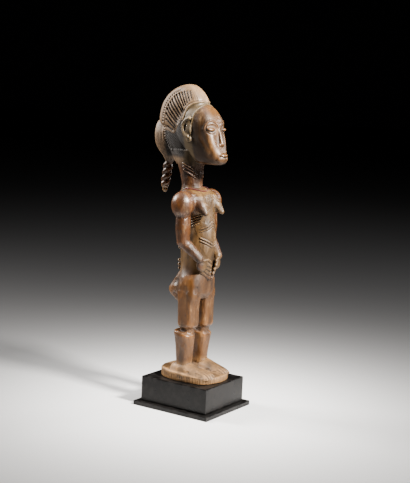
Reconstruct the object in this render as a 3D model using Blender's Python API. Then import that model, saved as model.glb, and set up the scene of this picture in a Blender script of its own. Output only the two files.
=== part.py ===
"""Carved wooden figure of a standing woman, with a thread round its neck, on a black two-step plinth.

Metres, +Z up. The figure faces -Y and its own right side is -X. The origin is the centre of the
plinth's underside. The tables and helper functions below hold millimetres.
"""

import math

import bmesh
import bpy
import numpy as np
from mathutils import Matrix, Vector
from mathutils.bvhtree import BVHTree

MM = 0.001
GAP = 0.3

# Plinth
PLATE_SIZE = (109.0, 123.0, 6.0)
BLOCK_SIZE = (94.0, 108.0, 35.2)
BLOCK_EDGE = 1.2
PLATE_EDGE = 0.5
PLINTH_TOP = PLATE_SIZE[2] + BLOCK_SIZE[2]

# Carved base under the feet: (y, half-width) of its plan, front to back, then its heights
BASE_PLAN = (
    (-48.5, 6.0),
    (-46.0, 17.0),
    (-41.0, 27.0),
    (-33.0, 34.5),
    (-18.0, 37.8),
    (0.0, 37.8),
    (15.0, 35.8),
    (28.0, 31.0),
    (38.0, 23.0),
    (43.5, 11.0),
)
BASE_BOTTOM = PLINTH_TOP + GAP
BASE_FRONT_TOP = 50.0
BASE_BACK_TOP = 53.5
BASE_CHAMFER = 1.6

# Feet: (y, centre x, half-width, top z), heel to toes
FOOT = (
    (23.0, 20.0, 6.0, 56.0),
    (18.0, 20.0, 11.0, 62.0),
    (8.0, 20.5, 13.0, 66.5),
    (-2.0, 20.5, 13.8, 65.5),
    (-14.0, 20.0, 14.4, 62.0),
    (-28.0, 19.0, 14.8, 57.6),
    (-38.0, 17.5, 13.8, 54.4),
    (-43.0, 16.5, 11.5, 51.6),
)
FOOT_FLOOR = 47.0

# Legs: (z, centre x, centre y, half-width, half-depth, squareness, lean), bottom to top
CALF = (
    (60.0, 19.0, 3.3, 9.6, 10.0, 2.8, 0.0),
    (70.0, 19.0, 3.1, 9.8, 10.2, 2.8, 0.0),
    (84.0, 19.3, 2.8, 10.8, 11.2, 2.8, 0.02),
    (97.0, 19.8, 2.7, 11.8, 12.4, 2.8, 0.1),
    (104.0, 20.2, 3.0, 12.6, 13.3, 2.8, 0.18),
    (107.0, 20.2, 3.2, 12.2, 12.8, 2.8, 0.2),
    (109.0, 20.2, 3.4, 9.8, 10.2, 2.6, 0.2),
)
THIGH = (
    (104.0, 17.8, 0.0, 8.2, 8.6, 2.6, 0.0),
    (113.0, 17.8, -0.4, 9.0, 9.4, 2.8, 0.0),
    (115.5, 17.9, -0.7, 11.1, 11.5, 3.2, 0.0),
    (119.5, 18.0, -0.8, 12.0, 12.5, 3.6, 0.0),
    (132.0, 18.0, -0.6, 11.9, 12.4, 3.8, 0.0),
    (148.0, 17.6, -0.4, 12.3, 13.4, 3.6, 0.0),
    (160.0, 16.4, -0.2, 13.4, 15.6, 3.2, 0.0),
    (172.0, 14.5, 0.0, 13.4, 15.4, 2.6, 0.0),
)

# Trunk: (z, front y, back y, half-width, squareness), crotch to collar
TRUNK = (
    (153.0, -12.0, 14.0, 24.0, 2.8),
    (161.0, -17.5, 18.5, 28.0, 2.8),
    (172.0, -19.5, 20.5, 28.5, 2.7),
    (182.0, -20.5, 21.0, 26.5, 2.5),
    (195.0, -21.0, 22.0, 22.0, 2.3),
    (210.0, -22.5, 24.0, 19.8, 2.2),
    (224.0, -24.5, 25.0, 18.5, 2.2),
    (240.0, -25.0, 24.5, 18.0, 2.2),
    (254.0, -23.0, 23.0, 18.0, 2.2),
    (266.0, -20.5, 22.5, 20.0, 2.2),
    (278.0, -18.5, 21.5, 27.0, 2.4),
    (289.0, -16.5, 20.5, 33.0, 2.5),
    (297.0, -12.0, 19.5, 31.0, 2.4),
    (302.0, -6.0, 19.0, 24.5, 2.2),
    (305.5, 0.0, 18.0, 15.5, 2.0),
)
BUTTOCK = (((13.0, 8.0, 168.0), 13.0), ((12.5, 18.0, 166.5), 11.2), ((12.0, 28.5, 163.0), 8.0))
BUTTOCK_ABOVE = (((13.0, 15.0, 184.0), 7.0), ((12.0, 27.5, 164.5), 8.0))
BUTTOCK_BELOW = (((13.0, 10.0, 148.0), 7.0), ((12.0, 27.5, 162.0), 8.0))

# Arms, given for the side at +X: points with their radii
SHOULDER_CENTRE = (34.0, 4.8, 283.5)
SHOULDER_RADII = (14.6, 15.8, 18.6)
YOKE = (((12.0, 6.0, 289.0), 12.0), ((31.0, 5.0, 285.5), 14.5))
UPPER_ARM = (((32.2, 4.2, 272.0), 9.6), ((32.2, 3.8, 252.0), 10.3), ((31.6, 3.0, 234.5), 9.0))
FOREARM = (((31.0, 2.0, 232.5), 8.4), ((27.3, -8.5, 222.5), 7.2), ((22.5, -18.2, 211.5), 6.0))
PALM_CENTRE = (18.2, -19.8, 202.5)
PALM_RADII = (8.2, 4.8, 9.0)
PALM_TURN = 22.0
FINGER_COUNT = 4
FINGER_RADIUS = 2.35
FINGER_ROOTS = ((17.5, -22.8, 207.5), (15.8, -17.4, 192.6))
FINGER_TIPS = ((7.0, -25.9, 200.8), (2.8, -22.2, 183.2))

# Breasts
BREAST = (((15.0, -6.0, 288.0), 11.5), ((17.5, -15.0, 281.5), 8.2), ((20.0, -23.6, 273.0), 3.9))

# Neck: (z, front y, back y, half-width, squareness)
NECK = (
    (296.0, -4.0, 29.0, 17.0, 2.0),
    (308.0, -0.5, 28.0, 14.0, 2.0),
    (320.0, -0.5, 30.5, 14.6, 2.0),
    (330.0, -0.5, 33.5, 16.4, 2.0),
    (342.0, -3.0, 38.0, 17.5, 2.0),
    (356.0, -4.0, 46.0, 18.5, 2.1),
)

# Head, in its own frame before it is turned: (z, front y, back y, half-width, squareness)
HEAD_TURN = 5.0
HEAD_AXIS = (0.0, 15.0)
HEAD = (
    (338.5, -31.0, -6.0, 7.0, 2.2),
    (341.5, -36.0, 8.0, 12.0, 2.4),
    (347.0, -39.0, 15.0, 15.4, 2.6),
    (353.0, -39.0, 20.0, 17.4, 2.6),
    (360.0, -36.0, 25.0, 19.6, 2.8),
    (368.0, -32.8, 31.0, 21.4, 3.0),
    (378.0, -30.0, 36.0, 22.6, 3.2),
    (388.0, -29.0, 39.0, 23.6, 3.1),
    (396.0, -27.3, 40.5, 23.6, 2.9),
    (404.0, -23.4, 41.0, 22.5, 2.6),
    (410.0, -19.0, 40.0, 20.4, 2.4),
    (415.0, -13.2, 36.0, 17.0, 2.2),
    (419.0, -6.0, 30.0, 11.5, 2.0),
)
LIPS_CENTRE = (0.0, -38.6, 351.4)
LIPS_RADII = (7.4, 5.6, 4.0)
NOSE = (((0.0, -25.6, 393.0), 1.4), ((0.0, -31.2, 379.0), 1.9), ((0.0, -34.4, 366.4), 3.0))
NOSTRIL_CENTRE = (2.9, -33.6, 364.6)
NOSTRIL_RADIUS = 2.5
EYE_CENTRE = (12.4, -27.0, 384.6)
EYE_RADII = (7.8, 4.6, 4.9)
EYE_TURN = 20.0
EAR_PATH = (
    (3.0, 399.4),
    (9.0, 396.8),
    (14.2, 390.5),
    (13.6, 383.5),
    (10.4, 378.2),
    (5.4, 375.0),
)
EAR_X = 24.4
EAR_RADIUS = 2.2
EAR_SHELL_CENTRE = (23.4, 7.2, 386.8)
EAR_SHELL_RADII = (1.7, 6.6, 11.4)
LOBE_CENTRE = (22.0, 4.2, 371.5)
LOBE_RADII = (2.8, 5.0, 4.0)
NAPE = (
    (336.0, 2.0, 39.0, 15.0, 2.0),
    (347.0, 2.0, 47.0, 16.0, 2.1),
    (358.0, 4.0, 54.0, 17.0, 2.3),
    (372.0, 5.0, 62.0, 18.0, 2.7),
    (386.0, 5.0, 64.0, 18.0, 2.7),
    (398.0, 5.0, 60.0, 17.0, 2.3),
)

# Crest of hair: its outline seen from the side as (y, z), and how it draws in towards its faces
CREST_OUTLINE = (
    (-6.5, 415.0),
    (-3.0, 426.0),
    (8.0, 438.8),
    (23.0, 444.6),
    (45.0, 438.6),
    (62.0, 424.2),
    (69.5, 405.6),
    (69.0, 392.0),
    (56.0, 384.0),
    (37.0, 379.5),
    (20.0, 400.0),
    (8.0, 409.5),
)
CREST_ROOT = (26.0, 394.0)
CREST_STEPS = (
    (0.0, 1.0),
    (5.0, 0.99),
    (8.5, 0.965),
    (11.5, 0.925),
    (14.2, 0.86),
    (16.8, 0.77),
    (19.0, 0.66),
    (20.6, 0.54),
    (21.4, 0.42),
)

# Bun behind the crest: (z, front y, back y, half-width, squareness)
BUN = (
    (397.0, 60.0, 72.0, 6.0, 2.0),
    (391.0, 52.0, 77.5, 11.0, 2.1),
    (382.0, 46.0, 79.5, 14.6, 2.2),
    (373.0, 43.0, 80.0, 15.6, 2.2),
    (362.0, 39.0, 78.5, 15.0, 2.2),
    (353.0, 38.0, 73.5, 12.6, 2.1),
    (345.0, 42.0, 66.5, 9.2, 2.0),
    (338.0, 49.5, 62.5, 6.0, 2.0),
    (333.0, 53.5, 61.5, 4.2, 2.0),
)
# Plait: two strands twisted round a hanging line of (y, z), then a ring and a tip
PLAIT_LINE = ((58.6, 334.0), (60.4, 320.0), (62.6, 306.0))
PLAIT_PITCH = 18.0
PLAIT_OFFSET = 3.0
PLAIT_STRAND = 3.6
PLAIT_STEPS = 14
PLAIT_RING = ((0.0, 63.0, 302.4), (5.6, 5.6, 2.4))
PLAIT_TIP = ((0.0, 63.4, 297.6), (4.2, 4.2, 3.8))

# Thread on the shoulders: rays fall on them from a wide ring round the neck towards a narrower one, (radius, z)
THREAD_CENTRE_Y = 10.5
THREAD_RAY_START = (27.0, 322.0)
THREAD_RAY_END = (17.0, 297.0)
THREAD_POINTS = 40
THREAD_RADIUS = 0.75
THREAD_LIFT = 0.5

# Raised lines, each with a half-width and a height
SCAR = (1.1, 0.9)
RIM = (1.5, 1.3)
BROW = (1.0, 0.9)

# Edge of the hair, from in front of the ear up over the forehead, as (x, y, z) in the head's frame
HAIRLINE_PATH = (
    (24.0, -1.0, 372.0),
    (24.5, -1.4, 384.0),
    (24.0, -2.0, 396.0),
    (21.0, -3.8, 405.0),
    (16.5, -6.0, 411.5),
    (9.0, -8.2, 416.0),
)
HEAD_CORE = (0.0, 8.0, 385.0)

# Brows, eyelid slits and mouth as (x, z) lines on the front of the face
BROW_LINE = ((4.5, 389.5), (7.5, 394.4), (12.5, 397.0), (18.0, 394.6), (21.2, 388.0))
EYE_SLIT = ((6.4, 383.4), (9.4, 382.0), (12.4, 381.6), (15.4, 382.2), (18.2, 383.8))
MOUTH_SLIT = ((-6.0, 350.9), (-3.0, 350.3), (0.0, 350.1), (3.0, 350.3), (6.0, 350.9))
SLIT = (0.5, 0.8)

# Scars as ((degrees from the front, z) at both ends, rise of the middle), on the belly, below the breasts, on the neck
BELLY_SCARS = (
    ((51.0, 250.5), (5.0, 260.0), 0.0),
    ((51.0, 246.5), (5.0, 256.0), 0.0),
    ((51.0, 239.0), (5.0, 230.0), 0.0),
    ((51.0, 235.0), (5.0, 226.0), 0.0),
)
CHEST_SCARS = (
    ((72.0, 266.6), (46.0, 270.4), 0.0),
    ((72.0, 262.4), (46.0, 266.2), 0.0),
    ((72.0, 258.2), (46.0, 262.0), 0.0),
)
NECK_SCARS = (((108.0, 338.4), (54.0, 330.4), 0.0), ((107.0, 334.2), (30.0, 322.6), 0.0), ((105.0, 329.6), (38.0, 318.4), 0.0))
TRUNK_CORE_Y = 0.0
NECK_CORE_Y = 14.0

# Raised points in two rows down the back
BACK_POINTS = (221.5, 203.6, 197.8, 192.0)
BACK_POINT_X = 8.5
BACK_POINT_Y = 24.4
BACK_POINT_RADIUS = 2.6

# Toes: lines cut along the front of each foot
TOES = 5
TOE_WIDTH = 5.0
TOE_REACH = (-44.0, -31.0)
TOE_CUT = (0.7, 1.0)

# Grooves combed into both faces of the crest
GROOVES = 24
GROOVE = (0.8, 1.1)
GROOVE_START = ((67.0, 391.0), (12.0, 438.5))
GROOVE_MARGIN = 5.0
GROOVE_SLOPES = (36.0, 80.0)
CREST_FOOT = ((-6.0, 416.5), (8.0, 410.5), (20.0, 401.5), (37.0, 381.0), (56.0, 385.0), (70.0, 392.0))

# Fineness of the faceted solid: voxel size, then the triangles before and after its lines are cut
VOXEL = 1.2
SMOOTH_STEPS = 2
PLAIN_FACES = 5600
FIGURE_FACES = 9000


def superellipse(centre, across, along, half_width, half_depth, squareness, sides):
    """A closed ring of points round centre, spanned by the directions across and along."""
    points = []
    for i in range(sides):
        angle = 2 * math.pi * i / sides
        c, s = math.cos(angle), math.sin(angle)
        u = math.copysign(abs(c) ** (2 / squareness), c) * half_width
        v = math.copysign(abs(s) ** (2 / squareness), s) * half_depth
        points.append(Vector(centre) + u * Vector(across) + v * Vector(along))
    return points


def eased(rows, steps):
    """The rows with steps - 1 more between each two, on a smooth curve through them."""
    table = np.array(rows, float)
    padded = np.vstack([2 * table[0] - table[1], table, 2 * table[-1] - table[-2]])
    out = []
    for i in range(len(table) - 1):
        a, b, c, d = padded[i : i + 4]
        for k in range(steps):
            t = k / steps
            out.append(
                0.5 * (2 * b + (c - a) * t + (2 * a - 5 * b + 4 * c - d) * t * t + (3 * b - a - 3 * c + d) * t**3)
            )
    out.append(table[-1])
    return np.array(out).tolist()


def add_skin(bm, rings):
    """A closed body: the rings joined one to the next, and both ends filled."""
    loops = [[bm.verts.new(point) for point in ring] for ring in rings]
    count = len(loops[0])
    faces = []
    for low, high in zip(loops, loops[1:]):
        for i in range(count):
            j = (i + 1) % count
            faces.append(bm.faces.new((low[i], low[j], high[j], high[i])))
    faces.append(bm.faces.new(loops[0][::-1]))
    faces.append(bm.faces.new(loops[-1]))
    bmesh.ops.recalc_face_normals(bm, faces=faces)


def add_column(bm, rows, sides=32):
    """An upright form from rows of (z, front y, back y, half-width, squareness)."""
    rings = []
    for z, front, back, half_width, squareness in eased(rows, 4):
        centre = (0, (front + back) / 2, z)
        rings.append(superellipse(centre, (1, 0, 0), (0, 1, 0), half_width, (back - front) / 2, squareness, sides))
    add_skin(bm, rings)


def add_leg(bm, rows, side, sides=28):
    """An upright form from rows of (z, x, y, half-width, half-depth, squareness, lean)."""
    rings = []
    for z, x, y, half_width, half_depth, squareness, lean in eased(rows, 3):
        along = (0, 1, lean)
        rings.append(superellipse((side * x, y, z), (1, 0, 0), along, half_width, half_depth, squareness, sides))
    add_skin(bm, rings)


def add_ball(bm, centre, radii, turn=0.0):
    """An ellipsoid, turned about Z by degrees."""
    matrix = Matrix.Translation(centre) @ Matrix.Rotation(math.radians(turn), 4, "Z")
    matrix = matrix @ Matrix.Diagonal((*radii, 1.0))
    bmesh.ops.create_icosphere(bm, subdivisions=4, radius=1.0, matrix=matrix)


def add_limb(bm, joints, sides=20):
    """Balls at the joints, given as (point, radius), with a tapered stretch between each two."""
    for point, radius in joints:
        add_ball(bm, point, (radius, radius, radius))
    for (start, r0), (end, r1) in zip(joints, joints[1:]):
        start, end = Vector(start), Vector(end)
        spin = (end - start).to_track_quat("Z", "X").to_matrix().to_4x4()
        bmesh.ops.create_cone(
            bm,
            cap_ends=True,
            segments=sides,
            radius1=r0,
            radius2=r1,
            depth=(end - start).length,
            matrix=Matrix.Translation((start + end) / 2) @ spin,
        )


def mirrored(joints, side):
    return [((side * x, y, z), radius) for (x, y, z), radius in joints]


def add_base(bm):
    """The flat carved base under the feet, lower in front, with a chamfered top edge."""
    right = [(w, y) for y, w in eased(BASE_PLAN, 4)]
    outline = right + [(-w, y) for w, y in reversed(right)]
    front, back = BASE_PLAN[0][0], BASE_PLAN[-1][0]
    middle = (front + back) / 2
    rings = [[Vector((x, y, BASE_BOTTOM)) for x, y in outline]]
    for below_top, inset in ((BASE_CHAMFER, 0.0), (0.0, BASE_CHAMFER)):
        shrink = 1 - 2 * inset / (back - front)
        ring = []
        for x, y in outline:
            top = BASE_FRONT_TOP + (BASE_BACK_TOP - BASE_FRONT_TOP) * min(1.0, 2 * (y - front) / (back - front))
            ring.append(Vector((x * shrink, middle + (y - middle) * shrink, top - below_top)))
        rings.append(ring)
    add_skin(bm, rings)


def add_foot(bm, side):
    """A long low mound with a flat sole sunk into the base."""
    rings = []
    for y, x, half_width, top in eased(FOOT, 3):
        ring = superellipse((side * x, y, FOOT_FLOOR), (1, 0, 0), (0, 0, 1), half_width, top - FOOT_FLOOR, 2.3, 24)
        for point in ring:
            point.z = max(point.z, FOOT_FLOOR)
        rings.append(ring)
    add_skin(bm, rings)


def add_arm(bm, side):
    x, y, z = SHOULDER_CENTRE
    add_ball(bm, (side * x, y, z), SHOULDER_RADII)
    add_limb(bm, mirrored(UPPER_ARM, side))
    add_limb(bm, mirrored(FOREARM, side))
    x, y, z = PALM_CENTRE
    add_ball(bm, (side * x, y, z), PALM_RADII, turn=side * PALM_TURN)
    for i in range(FINGER_COUNT):
        t = i / (FINGER_COUNT - 1)
        root = Vector(FINGER_ROOTS[0]).lerp(Vector(FINGER_ROOTS[1]), t)
        tip = Vector(FINGER_TIPS[0]).lerp(Vector(FINGER_TIPS[1]), t)
        add_limb(bm, mirrored(((root, FINGER_RADIUS), (tip, FINGER_RADIUS)), side), sides=12)


def add_body(bm):
    add_base(bm)
    add_column(bm, TRUNK)
    add_column(bm, NECK)
    for side in (-1, 1):
        add_foot(bm, side)
        add_leg(bm, CALF, side)
        add_leg(bm, THIGH, side)
        add_arm(bm, side)
        add_limb(bm, mirrored(BREAST, side))
        for part in (BUTTOCK, BUTTOCK_ABOVE, BUTTOCK_BELOW, YOKE):
            add_limb(bm, mirrored(part, side))
        for z in BACK_POINTS:
            add_ball(bm, (side * BACK_POINT_X, BACK_POINT_Y, z), (BACK_POINT_RADIUS,) * 3)


def add_face(bm):
    add_ball(bm, LIPS_CENTRE, LIPS_RADII)
    add_limb(bm, NOSE)
    for side in (-1, 1):
        x, y, z = NOSTRIL_CENTRE
        add_ball(bm, (side * x, y, z), (NOSTRIL_RADIUS,) * 3)
        x, y, z = EYE_CENTRE
        add_ball(bm, (side * x, y, z), EYE_RADII, turn=side * EYE_TURN)
        ear = [((side * EAR_X, y, z), EAR_RADIUS) for y, z in EAR_PATH]
        add_limb(bm, ear, sides=12)
        for (x, y, z), radii in ((EAR_SHELL_CENTRE, EAR_SHELL_RADII), (LOBE_CENTRE, LOBE_RADII)):
            add_ball(bm, (side * x, y, z), radii)


def add_crest(bm):
    """A thick upright slab, full along its middle and drawn in towards its root at both faces."""
    closed = CREST_OUTLINE + CREST_OUTLINE[:1]
    outline = eased(closed, 5)[:-1]
    root_y, root_z = CREST_ROOT
    steps = [(-x, s) for x, s in reversed(CREST_STEPS[1:])] + list(CREST_STEPS)
    rings = []
    for x, scale in steps:
        rings.append([Vector((x, root_y + (y - root_y) * scale, root_z + (z - root_z) * scale)) for y, z in outline])
    add_skin(bm, rings)


def add_plait(bm):
    """Two strands twisted round each other, a ring and a tip."""
    ys, zs = np.array(PLAIT_LINE).T
    for strand in (0, 1):
        joints = []
        for z in np.linspace(zs[0], zs[-1], PLAIT_STEPS).tolist():
            y = float(np.interp(z, zs[::-1], ys[::-1]))
            angle = 2 * math.pi * (z / PLAIT_PITCH + strand / 2)
            joints.append(((PLAIT_OFFSET * math.cos(angle), y + PLAIT_OFFSET * math.sin(angle), z), PLAIT_STRAND))
        add_limb(bm, joints, sides=12)
    add_ball(bm, *PLAIT_RING)
    add_ball(bm, *PLAIT_TIP)


def add_hair(bm):
    add_crest(bm)
    add_column(bm, NAPE)
    add_column(bm, BUN)
    add_plait(bm)


def turned_head():
    axis_x, axis_y = HEAD_AXIS
    out = Matrix.Translation((axis_x, axis_y, 0))
    return out @ Matrix.Rotation(math.radians(-HEAD_TURN), 4, "Z") @ out.inverted()


def make_object(name, bm, material):
    """A scene object from a bmesh in millimetres."""
    bmesh.ops.scale(bm, vec=(MM, MM, MM), verts=bm.verts)
    mesh = bpy.data.meshes.new(name)
    bm.to_mesh(mesh)
    bm.free()
    obj = bpy.data.objects.new(name, mesh)
    obj.data.materials.append(material)
    bpy.context.scene.collection.objects.link(obj)
    return obj


def make_material(name, colour, roughness):
    material = bpy.data.materials.new(name)
    material.use_nodes = True
    shader = material.node_tree.nodes["Principled BSDF"]
    shader.inputs["Base Color"].default_value = (*colour, 1.0)
    shader.inputs["Roughness"].default_value = roughness
    shader.inputs["Metallic"].default_value = 0.0
    material.diffuse_color = (*colour, 1.0)
    return material


def add_strip(bm, points, normals, profile, taper):
    """A closed strip along the points, its profile given as (sideways, outwards) and drawn in at the ends by taper."""
    rings = []
    last = len(points) - 1
    for i, (point, normal) in enumerate(zip(points, normals)):
        ahead = points[min(i + 1, last)] - points[max(i - 1, 0)]
        sideways = ahead.cross(normal).normalized()
        scale = taper if i in (0, last) else 1.0
        rings.append([point + scale * (u * sideways + v * normal) for u, v in profile])
    add_skin(bm, rings)


def ridge_profile(half_width, height):
    shoulder = (0.7 * half_width, 0.6 * height)
    return ((-half_width, -height), (half_width, -height), shoulder, (0.0, height), (-shoulder[0], shoulder[1]))


def groove_profile(half_width, depth):
    return ((0.0, -depth), (2 * half_width, depth), (-2 * half_width, depth))


def add_line(bm, surface, rays, profile, taper=0.3):
    """A strip on the surface where the rays, given as (start, direction), meet it."""
    points, normals = [], []
    for start, direction in rays:
        point, normal, _, _ = surface.ray_cast(Vector(start), Vector(direction))
        if point is not None:
            points.append(point)
            normals.append(normal)
    smoothed = []
    for i in range(len(normals)):
        smoothed.append(sum(normals[max(i - 1, 0) : i + 2], Vector()).normalized())
    add_strip(bm, points, smoothed, profile, taper)


def rays_round(core_y, ends, rise, side, steps=6):
    """Level rays towards the upright line at (0, core_y), sweeping between two (degrees from the front, z)."""
    rays = []
    (angle0, z0), (angle1, z1) = ends
    for k in range(steps + 1):
        t = k / steps
        angle = math.radians(angle0 + (angle1 - angle0) * t)
        away = Vector((side * math.sin(angle), -math.cos(angle), 0))
        z = z0 + (z1 - z0) * t + rise * 4 * t * (1 - t)
        rays.append((Vector((0, core_y, z)) + 80 * away, -away))
    return rays


def rays_at_face(line, side=1):
    """Rays from in front of the turned face, one for each (x, z)."""
    turn = turned_head()
    return [(turn @ Vector((side * x, -90, z)), turn.to_3x3() @ Vector((0, 1, 0))) for x, z in line]


def groove_lines():
    """The combed grooves as (y, z) lines in the head's frame, from the crest's edge down to its foot."""
    outline = [Vector((y, z)) for y, z in eased(CREST_OUTLINE[:8], 8)]
    root = Vector(CREST_ROOT)
    edge = [p + (root - p).normalized() * GROOVE_MARGIN for p in outline]
    first = min(range(len(edge)), key=lambda k: (edge[k] - Vector(GROOVE_START[0])).length)
    last = min(range(len(edge)), key=lambda k: (edge[k] - Vector(GROOVE_START[1])).length)
    way = edge[last : first + 1][::-1]
    reach = np.concatenate([[0.0], np.cumsum([(b - a).length for a, b in zip(way, way[1:])])])
    foot = np.array(CREST_FOOT)
    lines = []
    for i in range(GROOVES):
        t = i / (GROOVES - 1)
        at = t * reach[-1]
        start = Vector((float(np.interp(at, reach, [p.x for p in way])), float(np.interp(at, reach, [p.y for p in way]))))
        slope = math.radians(GROOVE_SLOPES[0] + (GROOVE_SLOPES[1] - GROOVE_SLOPES[0]) * t)
        step = Vector((-math.cos(slope), -math.sin(slope))) * 0.5
        end = start.copy()
        while end.y > float(np.interp(end.x, foot[:, 0], foot[:, 1])) + 1.5:
            end += step
        if (end - start).length > 5.0:
            lines.append([start.lerp(end, k / 4) for k in range(5)])
    return lines


def bake(obj):
    """The object's mesh with its modifiers applied."""
    graph = bpy.context.evaluated_depsgraph_get()
    mesh = bpy.data.meshes.new_from_object(obj.evaluated_get(graph))
    obj.modifiers.clear()
    obj.data = mesh


def thin_out(obj, faces):
    """A modifier that brings the mesh down to about this many triangles."""
    triangles = sum(len(polygon.vertices) - 2 for polygon in obj.data.polygons)
    fewer = obj.modifiers.new("fewer_faces", "DECIMATE")
    fewer.ratio = faces / triangles


def drop_crumbs(mesh):
    """Keeps the largest connected body of the mesh."""
    bm = bmesh.new()
    bm.from_mesh(mesh)
    unseen = set(bm.verts)
    bodies = []
    while unseen:
        body = [unseen.pop()]
        for vert in body:
            for edge in vert.link_edges:
                other = edge.other_vert(vert)
                if other in unseen:
                    unseen.remove(other)
                    body.append(other)
        bodies.append(body)
    bodies.sort(key=len)
    for body in bodies[:-1]:
        bmesh.ops.delete(bm, geom=body, context="VERTS")
    bm.to_mesh(mesh)
    bm.free()


def make_cutter(name, bm):
    cutter = make_object(name, bm, bpy.data.materials["carved_wood"])
    cutter.hide_render = True
    cutter.display_type = "WIRE"
    return cutter


def add_boolean(obj, cutter, operation):
    modifier = obj.modifiers.new(cutter.name, "BOOLEAN")
    modifier.operation = operation
    modifier.object = cutter
    modifier.solver = "MANIFOLD"


def make_cuts(surface):
    """The combed grooves of the crest, the slits of eyes and mouth, and the lines between the toes."""
    turn = turned_head()
    bm = bmesh.new()
    for side in (-1, 1):
        inward = turn.to_3x3() @ Vector((-side, 0, 0))
        for line in groove_lines():
            rays = [(turn @ Vector((side * 60.0, p.x, p.y)), inward) for p in line]
            add_line(bm, surface, rays, groove_profile(*GROOVE))
        add_line(bm, surface, rays_at_face(EYE_SLIT, side), groove_profile(*SLIT))
        middle = FOOT[-2][1]
        for i in range(1, TOES):
            x = side * (middle + (i - TOES / 2) * TOE_WIDTH)
            ys = np.linspace(*TOE_REACH, 4).tolist()
            add_line(bm, surface, [((x, y, 90.0), (0, 0, -1)) for y in ys], groove_profile(*TOE_CUT))
    add_line(bm, surface, rays_at_face(MOUTH_SLIT), groove_profile(*SLIT))
    return make_cutter("cut_lines", bm)


def make_ridges(surface):
    """The raised scars, the brows and the edge of the hair."""
    bm = bmesh.new()
    for side in (-1, 1):
        for start, end, rise in (*BELLY_SCARS, *CHEST_SCARS):
            add_line(bm, surface, rays_round(TRUNK_CORE_Y, (start, end), rise, side), ridge_profile(*SCAR))
        for start, end, rise in NECK_SCARS:
            add_line(bm, surface, rays_round(NECK_CORE_Y, (start, end), rise, side), ridge_profile(*SCAR))
        add_line(bm, surface, rays_at_face(BROW_LINE, side), ridge_profile(*BROW))
    turn = turned_head()
    core = Vector(HEAD_CORE)
    path = [Vector(p) for p in HAIRLINE_PATH]
    path += [Vector((-p.x, p.y, p.z)) for p in reversed(path)]
    rays = []
    for point in path:
        away = (point - core).normalized()
        rays.append((turn @ (core + 70 * away), turn.to_3x3() @ -away))
    add_line(bm, surface, rays, ridge_profile(*RIM))
    return make_cutter("raised_lines", bm)


def make_figure():
    bm = bmesh.new()
    head = bmesh.new()
    add_body(bm)
    add_column(head, HEAD)
    add_face(head)
    add_hair(head)
    bmesh.ops.transform(head, matrix=turned_head(), verts=head.verts)
    spare = bpy.data.meshes.new("head_forms")
    head.to_mesh(spare)
    head.free()
    bm.from_mesh(spare)
    bpy.data.meshes.remove(spare)
    figure = make_object("figure", bm, make_material("carved_wood", (0.13, 0.052, 0.024), 0.38))
    skin = figure.modifiers.new("one_skin", "REMESH")
    skin.mode = "VOXEL"
    skin.voxel_size = VOXEL * MM
    skin.use_smooth_shade = True
    soften = figure.modifiers.new("soften", "SMOOTH")
    soften.factor = 0.5
    soften.iterations = SMOOTH_STEPS
    bake(figure)
    whole = bmesh.new()
    whole.from_mesh(figure.data)
    bmesh.ops.scale(whole, vec=(1 / MM,) * 3, verts=whole.verts)
    surface = BVHTree.FromBMesh(whole)
    whole.free()
    thin_out(figure, PLAIN_FACES)
    add_boolean(figure, make_cuts(surface), "DIFFERENCE")
    add_boolean(figure, make_ridges(surface), "UNION")
    bake(figure)
    drop_crumbs(figure.data)
    thin_out(figure, FIGURE_FACES)
    return surface


def make_box(name, size, bottom, edge, material):
    bm = bmesh.new()
    x, y, z = size
    matrix = Matrix.Translation((0, 0, bottom + z / 2)) @ Matrix.Diagonal((x, y, z, 1.0))
    bmesh.ops.create_cube(bm, size=1.0, matrix=matrix)
    box = make_object(name, bm, material)
    bevel = box.modifiers.new("worn_edge", "BEVEL")
    bevel.width = edge * MM
    bevel.segments = 2
    return box


def make_thread(surface):
    """A closed loop of thread that lies on the shoulders round the neck."""
    rests = []
    for i in range(THREAD_POINTS):
        angle = 2 * math.pi * i / THREAD_POINTS
        ends = []
        for radius, z in (THREAD_RAY_START, THREAD_RAY_END):
            ends.append(Vector((radius * math.sin(angle), THREAD_CENTRE_Y - radius * math.cos(angle), z)))
        point, normal, _, _ = surface.ray_cast(ends[0], ends[1] - ends[0])
        rests.append(point + (THREAD_RADIUS + THREAD_LIFT) * normal)
    curve = bpy.data.curves.new("neck_thread", "CURVE")
    curve.dimensions = "3D"
    curve.bevel_depth = THREAD_RADIUS * MM
    curve.bevel_resolution = 1
    spline = curve.splines.new("POLY")
    spline.points.add(THREAD_POINTS - 1)
    for slot, rest in zip(spline.points, rests):
        slot.co = (*(rest * MM), 1.0)
    spline.use_cyclic_u = True
    thread = bpy.data.objects.new("neck_thread", curve)
    curve.materials.append(make_material("red_thread", (0.14, 0.012, 0.014), 0.8))
    bpy.context.scene.collection.objects.link(thread)


def clear_scene():
    for obj in list(bpy.data.objects):
        bpy.data.objects.remove(obj, do_unlink=True)


def main():
    clear_scene()
    black = make_material("black_paint", (0.012, 0.011, 0.011), 0.3)
    make_box("plinth_plate", PLATE_SIZE, 0.0, PLATE_EDGE, black)
    block_height = BLOCK_SIZE[2] - GAP
    make_box("plinth_block", (*BLOCK_SIZE[:2], block_height), PLATE_SIZE[2] + GAP, BLOCK_EDGE, black)
    make_thread(make_figure())


main()
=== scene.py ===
"""Looks of a carved standing woman: polished and worn wood, a twisted red thread, a black plinth.

Tables of places and sizes hold millimetres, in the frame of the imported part: +Z up, the figure
faces -Y and its own right side is -X. Head tables are in the head's own frame, before it is turned.
"""

import math

import bmesh
import bpy
import numpy as np
from mathutils import Matrix, Vector
from mathutils.bvhtree import BVHTree
from mathutils.kdtree import KDTree


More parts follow.
